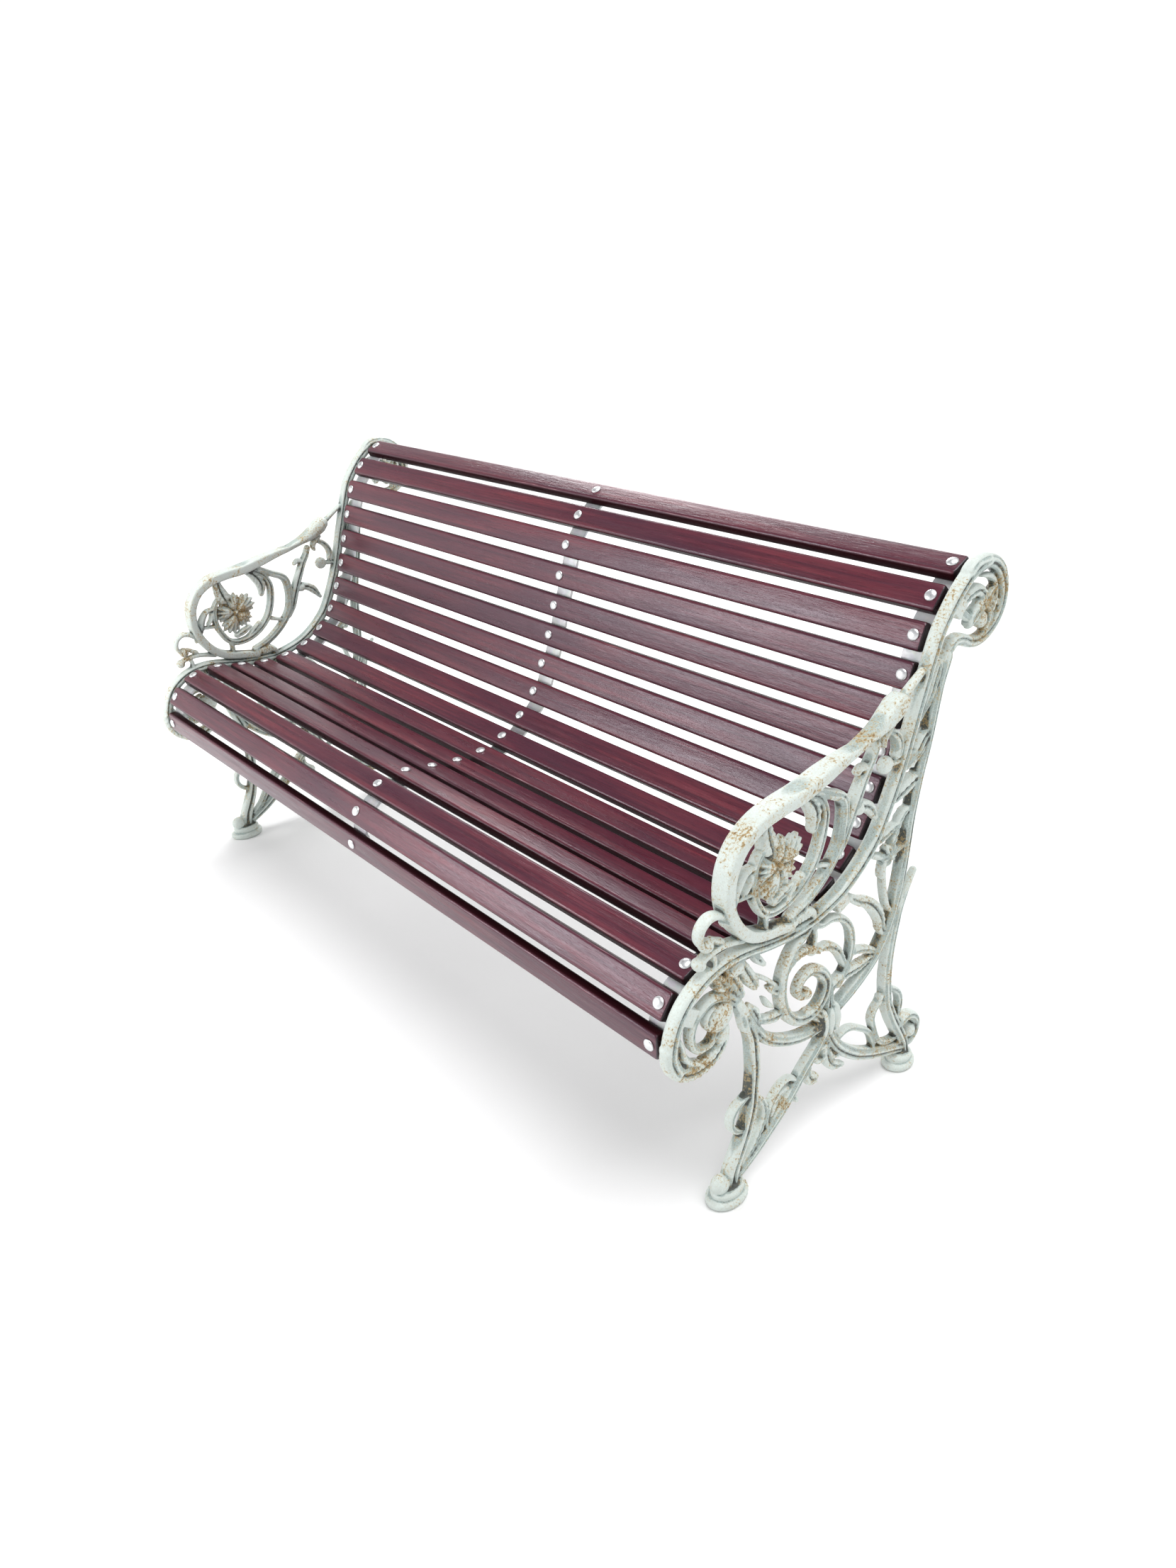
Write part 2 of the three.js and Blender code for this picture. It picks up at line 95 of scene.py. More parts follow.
def make_camera():
    forward = Vector((
        -math.sin(CAMERA_AZIMUTH) * math.cos(CAMERA_ELEVATION),
        math.cos(CAMERA_AZIMUTH) * math.cos(CAMERA_ELEVATION),
        -math.sin(CAMERA_ELEVATION),
    ))
    level = forward.cross(Vector((0, 0, 1))).normalized()
    tilt = Matrix.Rotation(CAMERA_ROLL, 3, forward)
    right = tilt @ level
    up = tilt @ level.cross(forward)
    data = bpy.data.cameras.new("camera")
    data.sensor_width = CAMERA_SENSOR
    data.lens = CAMERA_LENS
    data.shift_x, data.shift_y = CAMERA_SHIFT
    camera = in_scene("camera", data)
    rotation = Matrix((right, up, -forward)).transposed()
    camera.matrix_world = Matrix.Translation(CAMERA_PLACE) @ rotation.to_4x4()
    bpy.context.scene.camera = camera


def area_light(name, place, target, size, power):
    data = bpy.data.lights.new(name, "AREA")
    data.shape = "RECTANGLE"
    data.size, data.size_y = size
    data.energy = power
    light = in_scene(name, data)
    light.location = place
    light.rotation_euler = (Vector(target) - Vector(place)).to_track_quat("-Z", "Y").to_euler()


def make_lights():
    overhead = bpy.data.lights.new("overhead", "SUN")
    overhead.energy = 3.05
    overhead.angle = math.radians(52)
    light = in_scene("overhead", overhead)
    light.rotation_euler = Vector((0.16, 0.05, 0.97)).to_track_quat("Z", "Y").to_euler()
    area_light("window", (-1.4, -2.55, 1.55), (0.5, 0, 0.45), (1.5, 1.2), 40)
    area_light("back_panel", (-2.2, 2.4, 2.6), (0.2, 0, 0.4), (2.2, 1.3), 58)
    make_sky()


def make_sky():
    """White at and below eye level, so that the floor runs into it, and dim overhead."""
    world = bpy.data.worlds.new("studio")
    world.use_nodes = True
    tree = world.node_tree
    place = tree.nodes.new("ShaderNodeTexCoord")
    split = tree.nodes.new("ShaderNodeSeparateXYZ")
    tree.links.new(place.outputs["Generated"], split.inputs[0])
    ramp = tree.nodes.new("ShaderNodeValToRGB")
    tree.links.new(split.outputs["Z"], ramp.inputs[0])
    elements = ramp.color_ramp.elements
    elements[0].position, elements[0].color = 0.18, (1, 1, 1, 1)
    elements[1].position, elements[1].color = 0.62, (0.26, 0.26, 0.27, 1)
    background = tree.nodes["Background"]
    tree.links.new(ramp.outputs["Color"], background.inputs["Color"])
    background.inputs["Strength"].default_value = 1.06
    bpy.context.scene.world = world


def make_floor():
    half = 60
    corners = [(-half, -half, 0), (half, -half, 0), (half, half, 0), (-half, half, 0)]
    data = new_mesh("floor", corners, [(0, 1, 2, 3)])
    floor = in_scene("floor", data)
    material = bpy.data.materials.new("floor")
    material.use_nodes = True
    shader = material.node_tree.nodes["Principled BSDF"]
    shader.inputs["Base Color"].default_value = (0.84, 0.84, 0.84, 1)
    shader.inputs["Roughness"].default_value = 0.95
    shader.inputs["Specular IOR Level"].default_value = 0.1
    data.materials.append(material)


# ---- curves ----

class Spline:
    """A smooth curve through its points, read by distance along it."""

    STEPS_PER_SPAN = 24

    def __init__(self, points):
        points = np.array(points, float)
        last = len(points) - 1
        u = (np.arange(self.STEPS_PER_SPAN) / self.STEPS_PER_SPAN)[:, None]
        rows = []
        for i in range(last):
            before = points[max(i - 1, 0)]
            start, end = points[i], points[i + 1]
            after = points[min(i + 2, last)]
            leave, arrive = (end - before) / 2, (after - start) / 2
            cubic = 2 * start - 2 * end + leave + arrive
            square = -3 * start + 3 * end - 2 * leave - arrive
            rows.append(((cubic * u + square) * u + leave) * u + start)
        rows.append(points[-1:])
        self.path = np.vstack(rows)
        steps = np.linalg.norm(np.diff(self.path, axis=0), axis=1)
        self.distance = np.concatenate([[0], np.cumsum(steps)])
        self.length = self.distance[-1]
        self.slope = np.gradient(self.path, axis=0)
        self.slope /= np.linalg.norm(self.slope, axis=1)[:, None]

    def _read(self, table, distance):
        columns = [np.interp(distance, self.distance, table[:, k]) for k in range(2)]
        return np.stack(columns, axis=-1)

    def at(self, distance):
        return self._read(self.path, distance)

    def along(self, distance):
        direction = self._read(self.slope, distance)
        return direction / np.linalg.norm(direction, axis=-1, keepdims=True)


slat_line = Spline(SLAT_LINE)


def place_on_slats(distance, out):
    """A point above the slats' top faces by the distance out, with the ways along and out, as (y, z)."""
    along = slat_line.along(distance)
    normal = np.array([along[1], -along[0]])
    return slat_line.at(distance) + normal * (SLAT_THICKNESS / 2 + out), along, normal


def station(index):
    """The middle of a slat's top face, with the ways along the row of slats and out of it."""
    return place_on_slats(FIRST_SLAT_AT + index * SLAT_PITCH, 0)


def station_matrix(index, x):
    """Carries a shape with +Z out of the slat onto a station, in metres."""
    at, along, out = station(index)
    rotation = Matrix(((1, 0, 0), (0, -along[0], out[0]), (0, -along[1], out[1])))
    place = Vector((x, at[0] + SHIFT_Y, at[1])) * MM
    return Matrix.Translation(place) @ rotation.to_4x4() @ Matrix.Scale(MM, 4)


# ---- finishing pieces ----

def finish_object(name, data, material, smooth_degrees):
    """Shades a mesh smooth, with edges sharper than smooth_degrees kept crisp; zero keeps none."""
    data.materials.clear()
    data.materials.append(material)
    piece = in_scene(name, data)
    data.polygons.foreach_set("use_smooth", [True] * len(data.polygons))
    if smooth_degrees:
        mark_sharp(data, math.radians(smooth_degrees))
    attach(piece, "root")
    return piece


def mark_sharp(data, limit):
    shape = bmesh.new()
    shape.from_mesh(data)
    for edge in shape.edges:
        edge.smooth = len(edge.link_faces) != 2 or edge.calc_face_angle(0) < limit
    shape.to_mesh(data)
    shape.free()


def applied(piece, *modifiers):
    """Runs modifiers on an object and gives the finished mesh."""
    for kind, settings in modifiers:
        modifier = piece.modifiers.new(kind.lower(), kind)
        for key, value in settings.items():
            setattr(modifier, key, value)
    graph = bpy.context.evaluated_depsgraph_get()
    data = bpy.data.meshes.new_from_object(piece.evaluated_get(graph))
    piece.modifiers.clear()
    return data


def loft(rings):
    """Vertices and faces of a closed tube through rings that hold the same number of points."""
    rings = np.asarray(rings)
    count, sides = rings.shape[:2]
    verts = rings.reshape(-1, 3).tolist()
    faces = []
    for i in range(count - 1):
        for k in range(sides):
            after = (k + 1) % sides
            faces.append((i * sides + k, i * sides + after, (i + 1) * sides + after, (i + 1) * sides + k))
    faces.append(tuple(range(sides))[::-1])
    faces.append(tuple((count - 1) * sides + k for k in range(sides)))
    return verts, faces


def circle(radius, height, sides):
    angles = [2 * math.pi * k / sides for k in range(sides)]
    return [(radius * math.cos(a), radius * math.sin(a), height) for a in angles]


# ---- materials ----

class Nodes:
    """Short words for building a material's node tree."""

    def __init__(self, name):
        self.material = bpy.data.materials.new(name)
        self.material.use_nodes = True
        self.tree = self.material.node_tree
        self.shader = self.tree.nodes["Principled BSDF"]

    def add(self, kind, inputs=(), **settings):
        node = self.tree.nodes.new(kind)
        for key, value in settings.items():
            setattr(node, key, value)
        for key, value in dict(inputs).items():
            self.put(node.inputs[key], value)
        return node

    def put(self, socket, value):
        if hasattr(value, "is_output"):
            self.tree.links.new(value, socket)
        else:
            socket.default_value = value

    def set(self, **values):
        for key, value in values.items():
            self.put(self.shader.inputs[key.replace("_", " ")], value)

    def where(self, scale=(1, 1, 1)):
        place = self.add("ShaderNodeTexCoord").outputs["Object"]
        return self.add("ShaderNodeMapping", {"Vector": place, "Scale": scale}).outputs["Vector"]

    def noise(self, scale, detail=3, stretch=(1, 1, 1), roughness=0.55, distortion=0):
        inputs = {"Vector": self.where(stretch), "Scale": scale, "Detail": detail,
                  "Roughness": roughness, "Distortion": distortion}
        return self.add("ShaderNodeTexNoise", inputs).outputs["Fac"]

    def ramp(self, value, *stops):
        node = self.add("ShaderNodeValToRGB", {"Fac": value})
        elements = node.color_ramp.elements
        while len(elements) < len(stops):
            elements.new(0.5)
        for element, (position, colour) in zip(elements, stops):
            element.position = position
            shade = (colour, colour, colour) if isinstance(colour, (int, float)) else colour
            element.color = (*shade, 1)
        return node.outputs["Color"]

    def combine(self, operation, a, b):
        return self.add("ShaderNodeMath", {0: a, 1: b}, operation=operation).outputs[0]

    def mix(self, fac, a, b, blend="MIX"):
        node = self.add("ShaderNodeMix", data_type="RGBA", blend_type=blend)
        self.put(node.inputs["Factor"], fac)
        for socket, value in ((node.inputs[6], a), (node.inputs[7], b)):
            self.put(socket, (*value, 1) if isinstance(value, tuple) and len(value) == 3 else value)
        return node.outputs[2]

    def attribute(self, name):
        return self.add("ShaderNodeAttribute", attribute_name=name).outputs["Fac"]

    def bump(self, height, distance, strength=1.0, after=None):
        inputs = {"Height": height, "Distance": distance, "Strength": strength}
        if after is not None:
            inputs["Normal"] = after
        return self.add("ShaderNodeBump", inputs).outputs["Normal"]


def paint_material():
    """Old pale green paint on iron: mottled, speckled and stained round the rust, painted lighter on proud
    edges as wear and painted highlight, and darkened in the hollows as grime and painted shade.
    """
    n = Nodes("pale_green_paint")
    cavity = n.attribute("cavity")
    rusty = n.attribute("rusty")
    tone = n.ramp(n.noise(14, 4), (0.3, (0.345, 0.425, 0.410)), (0.7, (0.460, 0.545, 0.525)))
    speckle = n.noise(480, 5, roughness=0.75)
    tone = n.mix(n.ramp(speckle, (0.47, 0.0), (0.62, 0.80)), tone, (0.20, 0.22, 0.18))
    weathered = n.noise(48, 5, roughness=0.65)
    tone = n.mix(n.ramp(weathered, (0.48, 0.0), (0.70, 0.60)), tone, (0.27, 0.31, 0.28))
    # Painted highlight: proud edges are painted lighter, partly as worn paint and partly as the light they
    # catch.
    proud_wear_and_highlight = n.ramp(n.combine("MULTIPLY", cavity, -1.0), (0.55, 0.0), (1.0, 0.55))
    tone = n.mix(proud_wear_and_highlight, tone, (0.76, 0.81, 0.76))
    # Painted shade: the hollows are darkened almost to black, partly as grime and partly as the shade that
    # falls in them.
    hollow = n.combine("ADD", cavity, n.combine("MULTIPLY", n.noise(160, 4), 0.5))
    tone = n.mix(n.ramp(hollow, (0.30, 0.0), (0.76, 0.97)), tone, (0.048, 0.054, 0.046))
    fine = n.noise(290, 5, roughness=0.64)
    broad = n.noise(30, 5, roughness=0.6)
    level = n.combine("ADD", n.combine("MULTIPLY", fine, 0.6), n.combine("MULTIPLY", broad, 0.4))
    level = n.combine("ADD", level, n.combine("MULTIPLY", rusty, 0.085))
    stain = n.ramp(level, (0.525, 0.0), (0.61, 0.72))
    rust = n.ramp(level, (0.588, 0.0), (0.632, 0.88))
    rust_tone = n.ramp(n.noise(330, 3), (0.35, (0.15, 0.078, 0.026)), (0.65, (0.42, 0.28, 0.105)))
    tone = n.mix(stain, tone, (0.48, 0.37, 0.17))
    tone = n.mix(rust, tone, rust_tone)
    pits = n.noise(460, 4, roughness=0.65)
    waves = n.noise(80, 3)
    relief = n.bump(waves, 0.0015, 0.5)
    relief = n.bump(pits, 0.0008, 0.7, after=relief)
    relief = n.bump(rust, 0.0004, 0.5, after=relief)
    n.set(Base_Color=tone, Normal=relief)
    n.set(Roughness=n.ramp(rust, (0.0, 0.40), (1.0, 0.85)))
    return n.material


def wood_material():
    """Oxblood stained hardwood under a semi-gloss coat, with open grain, streaks and scuffed edges."""
    n = Nodes("oxblood_wood")
    grain = n.noise(1, 6, stretch=(6, 260, 260), roughness=0.65, distortion=0.5)
    streak = n.noise(1, 5, stretch=(2.6, 110, 110), roughness=0.62)
    pores = n.noise(1, 3, stretch=(34, 900, 900), roughness=0.7)
    drift = n.noise(1, 3, stretch=(3.2, 20, 20), roughness=0.6)
    tone = n.ramp(grain, (0.30, (0.042, 0.007, 0.014)), (0.70, (0.118, 0.020, 0.034)))
    tone = n.mix(n.ramp(streak, (0.44, 0.0), (0.64, 0.65)), tone, (0.165, 0.026, 0.036))
    tone = n.mix(n.ramp(drift, (0.38, 0.0), (0.66, 0.75)), tone, (0.050, 0.009, 0.022))
    tone = n.mix(n.ramp(pores, (0.56, 0.0), (0.70, 0.65)), tone, (0.016, 0.003, 0.005))
    worn = n.attribute("worn")
    scratch = n.noise(1, 4, stretch=(9, 420, 420), roughness=0.65)
    scuff = n.ramp(n.combine("ADD", scratch, n.combine("MULTIPLY", worn, 0.22)), (0.73, 0.0), (0.80, 0.75))
    tone = n.mix(scuff, tone, (0.40, 0.20, 0.21))
    # Painted shade: the long sides and the underside are painted nearly black and lose their coat.
    tone = n.mix(n.combine("MULTIPLY", n.attribute("dull_and_painted_shade"), 0.92), tone, (0.014, 0.003, 0.004))
    tone = n.mix(n.attribute("end_grain"), tone, (0.012, 0.004, 0.005))
    relief = n.bump(n.noise(1, 4, stretch=(22, 110, 110), roughness=0.6), 0.0016, 0.40)
    relief = n.bump(grain, 0.0006, 0.5, after=relief)
    relief = n.bump(pores, 0.0003, 0.6, after=relief)
    n.set(Base_Color=tone, Normal=relief, Coat_Normal=relief)
    n.set(Roughness=n.ramp(n.noise(1, 4, stretch=(10, 110, 110)), (0.3, 0.24), (0.7, 0.42)))
    n.set(Coat_Weight=n.ramp(n.attribute("dull_and_painted_shade"), (0.0, 0.40), (1.0, 0.0)))
    n.set(Specular_IOR_Level=n.ramp(n.attribute("dull_and_painted_shade"), (0.0, 0.42), (1.0, 0.05)))
    n.shader.inputs["Coat Roughness"].default_value = 0.13
    n.shader.inputs["Specular Tint"].default_value = (0.90, 0.86, 1.0, 1)
    return n.material


def galvanised_material():
    n = Nodes("galvanised_steel")
    spangle = n.add("ShaderNodeTexVoronoi", {"Vector": n.where(), "Scale": 130}).outputs["Color"]
    tone = n.ramp(n.noise(50, 4), (0.3, (0.60, 0.61, 0.62)), (0.7, (0.76, 0.77, 0.78)))
    tone = n.mix(0.12, tone, spangle, "SOFT_LIGHT")
    n.set(Base_Color=tone, Roughness=n.ramp(n.noise(90, 3), (0.3, 0.42), (0.7, 0.60)))
    n.set(Normal=n.bump(n.noise(300, 3), 0.0003, 0.3))
    n.shader.inputs["Metallic"].default_value = 0.35
    return n.material


def zinc_material():
    n = Nodes("zinc_plate")
    tone = n.ramp(n.noise(220, 3), (0.3, (0.66, 0.67, 0.68)), (0.7, (0.80, 0.81, 0.82)))
    n.set(Base_Color=tone, Roughness=n.ramp(n.noise(300, 3), (0.3, 0.26), (0.75, 0.40)))
    n.set(Normal=n.bump(n.noise(500, 2), 0.0001, 0.25))
    n.shader.inputs["Metallic"].default_value = 0.8
    return n.material


# ---- slats ----

SLAT_CORNER = 6         # radius of the corners, seen from above
SLAT_EDGE = 5           # radius of the long edges
SLAT_END_EDGE = 2.6     # radius of the edges round each end
HOLE_RADIUS = 4.6
HOLE_REACH = 40
DULL_FROM = 1.2         # depth below the top face at which the sides start to lose gloss and take painted shade
DULL_OVER = 3
END_GRAIN_REACH = 2.4


def rounded_section(half_width, half_height, radius, per_corner=6):
    """Points round a rounded rectangle, in its own plane."""
    radius = min(radius, half_width, half_height)
    points = []
    for quarter, (sx, sy) in enumerate(((1, 1), (-1, 1), (-1, -1), (1, -1))):
        for k in range(per_corner + 1):
            angle = (quarter + k / per_corner) * math.pi / 2
            points.append((sx * (half_width - radius) + radius * math.cos(angle),
                           sy * (half_height - radius) + radius * math.sin(angle)))
    return points


def slat_rings():
    """Sections along a slat: round in plan at each end, with every edge rounded."""
    edge = SLAT_END_EDGE
    half = SLAT_LENGTH / 2
    distances = [edge * (1 - math.cos(k * math.pi / 12)) for k in range(7)]
    distances += [SLAT_CORNER * (1 - math.cos(math.radians(a))) for a in (40, 50, 60, 70, 80, 90)]
    distances += [30, 120, 300, 500, half]
    rings = []
    for distance in sorted(distances):
        near = min(distance, SLAT_CORNER)
        plan = SLAT_CORNER - math.sqrt(SLAT_CORNER ** 2 - (SLAT_CORNER - near) ** 2)
        inset = edge - math.sqrt(edge ** 2 - (edge - min(distance, edge)) ** 2)
        section = rounded_section(SLAT_WIDTH / 2 - plan - inset, SLAT_THICKNESS / 2 - inset,
                                  SLAT_EDGE - inset * 0.8)
        rings.append([(-half + distance, y, z - SLAT_THICKNESS / 2) for y, z in section])
    mirrored = [[(-x, y, z) for x, y, z in ring] for ring in rings[-2::-1]]
    return rings + mirrored


def hole_cutter(radius, half_length, places):
    shape = bmesh.new()
    for x in places:
        bmesh.ops.create_cone(
            shape, cap_ends=True, segments=20, radius1=radius, radius2=radius, depth=2 * half_length,
            matrix=Matrix.Translation((x, 0, 0)))
    data = bpy.data.meshes.new("cutter")
    shape.to_mesh(data)
    shape.free()
    return in_scene("cutter", data)


def drilled(data, cutter):
    """The mesh with the cutter taken out of it."""
    blank = in_scene("blank", data)
    result = applied(blank, ("BOOLEAN", {"operation": "DIFFERENCE", "solver": "MANIFOLD", "object": cutter}))
    bpy.data.objects.remove(blank)
    bpy.data.objects.remove(cutter)
    return result


def mark_wear_and_painted_shade(data):
    """Worn along the upper edges, less glossy and darkened with painted shade on the long sides and below,
    with end grain at the ends.
    """
    worn = data.attributes.new("worn", "FLOAT", "POINT")
    dull_and_painted_shade = data.attributes.new("dull_and_painted_shade", "FLOAT", "POINT")
    ends = data.attributes.new("end_grain", "FLOAT", "POINT")
    for index, vertex in enumerate(data.vertices):
        from_end = SLAT_LENGTH / 2 - abs(vertex.co.x)
        near_edge = min(1.0, max(0.0, abs(vertex.co.y) - (SLAT_WIDTH / 2 - SLAT_EDGE)) / SLAT_EDGE)
        below = min(1.0, max(0.0, -vertex.co.z - DULL_FROM) / DULL_OVER)
        worn.data[index].value = near_edge * (1 - below)
        dull_and_painted_shade.data[index].value = below
        ends.data[index].value = 1.0 if from_end < END_GRAIN_REACH else 0.0


def make_slats(material):
    data = new_mesh("slat", *loft(slat_rings()))
    data = drilled(data, hole_cutter(HOLE_RADIUS, HOLE_REACH, [x for side, x in BOLT_ROWS]))
    mark_wear_and_painted_shade(data)
    for index in range(SLAT_COUNT):
        number = f"{index + 1:02d}"
        copy = data.copy()
        copy.transform(station_matrix(index, 0))
        piece = finish_object(f"wooden_slat_{number}", copy, material, 35)
        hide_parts(f"slat_{number}")


# ---- straps ----

STRAP_BEND_REACH = 2.2
STRAP_EDGE = 0.9


def strap_path():
    """The middle of the strap's thickness: flat under each slat and bent between them."""
    depth = SLAT_THICKNESS + CLEARANCE + STRAP_THICKNESS / 2
    points = []
    for index in range(SLAT_COUNT):
        at, along, out = station(index)
        before = station(max(index - 1, 0))[1]
        after = station(min(index + 1, SLAT_COUNT - 1))[1]
        hollow = before[0] * after[1] - before[1] * after[0] < 0
        reach = SLAT_WIDTH / 2 + (1 if hollow else -3)
        points += [at + along * side * reach - out * depth for side in (-1, 1)]
    return np.array(points)


def strap_data():
    """A flat bar with eased edges, bent softly at each point of its path."""
    path = strap_path()
    rows = []
    for i, point in enumerate(path):
        if i in (0, len(path) - 1):
            rows.append(point)
            continue
        for towards in (path[i - 1], path[i + 1]):
            gap = towards - point
            rows.append(point + gap / np.linalg.norm(gap) * STRAP_BEND_REACH)
    rows = np.array(rows)
    slope = np.gradient(rows, axis=0)
    slope /= np.linalg.norm(slope, axis=1)[:, None]
    section = rounded_section(STRAP_WIDTH / 2, STRAP_THICKNESS / 2, STRAP_EDGE, 3)
    rings = []
    for point, (dy, dz) in zip(rows, slope):
        rings.append([(x, point[0] + dz * h, point[1] - dy * h) for x, h in section])
    return loft(rings)


def make_straps(material):
    verts, faces = strap_data()
    for side, x in BOLT_ROWS:
        placed = [((x + v[0]) * MM, (v[1] + SHIFT_Y) * MM, v[2] * MM) for v in verts]
        name = f"steel_{side}_strap"
        data = new_mesh(name, placed, faces)
        data.validate()
        piece = finish_object(name, data, material, 30)
        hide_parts(f"{side}_strap")


# ---- bolts ----

HEAD_RADIUS = 8.5
HEAD_HEIGHT = 4.2
HEAD_RIM = 0.75
SHANK_RADIUS = 3.9
SHANK_PAST_GRIP = 9.5
NUT_PROFILE = ((0, 6.6), (-0.6, 7.5), (-5.8, 7.5), (-6.4, 6.6))     # height from the strap or lug, radius


def head_and_shank(grip):
    profile = [(0.01, HEAD_HEIGHT)]
    for step in range(1, 11):
        angle = step / 10 * math.pi / 2
        profile.append((HEAD_RADIUS * math.sin(angle), HEAD_RIM + (HEAD_HEIGHT - HEAD_RIM) * math.cos(angle)))
    end = -grip - SHANK_PAST_GRIP
    profile += [(HEAD_RADIUS - 0.25, 0.15), (HEAD_RADIUS - 0.7, 0.02)]
    profile += [(SHANK_RADIUS, 0.02), (SHANK_RADIUS, end), (0.01, end)]
    return loft([circle(radius, height, 28) for radius, height in profile][::-1])


def bolt_data(grip):
    """A mushroom head, its shank and its hexagon nut, drawn with the slat's top face at zero."""
    verts, faces = head_and_shank(grip)
    nut_verts, nut_faces = loft([circle(radius, -grip + height, 6) for height, radius in NUT_PROFILE][::-1])
    faces += [tuple(len(verts) + k for k in face) for face in nut_faces]
    return new_mesh("bolt", verts + nut_verts, faces)


def make_bolts(material):
    strap_depth = SLAT_THICKNESS + CLEARANCE + STRAP_THICKNESS + CLEARANCE
    through_strap = bolt_data(strap_depth)
    through_lug = bolt_data(strap_depth + LUG_THICKNESS + CLEARANCE)
    turns = np.random.default_rng(11).uniform(0, math.pi, (SLAT_COUNT, 3))
    for index in range(SLAT_COUNT):
        number = f"{index + 1:02d}"
        for row, (side, x) in enumerate(BOLT_ROWS):
            lugged = side != "middle" and index + 1 in LUG_STATIONS
            copy = (through_lug if lugged else through_strap).copy()
            copy.transform(station_matrix(index, x) @ Matrix.Rotation(turns[index][row], 4, "Z"))
            piece = finish_object(f"{side}_mushroom_bolt_{number}", copy, material, 30)
            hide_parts("middle_strap" if side == "middle" else f"{side}_bolt_{number}")


# ---- the side casting ----

# Each member is a closed tube along a centre line in the casting's plane. Across a member, s runs from
# -1 to 1; a relief gives how far the face stands out at s, and at a distance along the member.

def plain(s, along):
    return np.ones_like(s)


def groove(s, at, width, depth):
    return depth * np.exp(-((s - at) / width) ** 2)


def moulded(s, along):
    """A broad bead, a quirk and a narrower bead, as on the long rails."""
    return 1.0 - groove(s, 0.26, 0.14, 0.46) - groove(s, -0.60, 0.13, 0.34) - 0.16 * (s > 0.3) * (s - 0.3)


def moulded_back(s, along):
    return moulded(-s, along)


def beaded(s, along):
    """Two beads with a groove between them."""
    return 1.0 - groove(s, 0, 0.20, 0.50) - 0.10 * s ** 2


def veined(s, along):
    """A leaf with a sunk midrib and slanting flutes."""
    flutes = 0.5 + 0.5 * np.cos(2 * math.pi * (along / 11 - 1.1 * np.abs(s)))
    return 1.0 - groove(s, 0, 0.18, 0.50) - 0.34 * flutes * np.abs(s) ** 0.5


def fluted(s, along):
    """Flutes that run lengthwise."""
    return 1.0 - 0.42 * (0.5 - 0.5 * np.cos(2 * math.pi * 1.5 * s)) - 0.14 * s ** 2


def ridged(s, along):
    """A smooth blade with a soft ridge along the middle."""
    return 0.84 + 0.16 * (1 - np.abs(s)) ** 1.2


def crested(s, along):
    """A sharp ridge along the middle."""
    return 0.60 + 0.40 * (1 - np.abs(s)) ** 0.9


SECTION_STEP = 3.0
SECTION_POINTS = 33


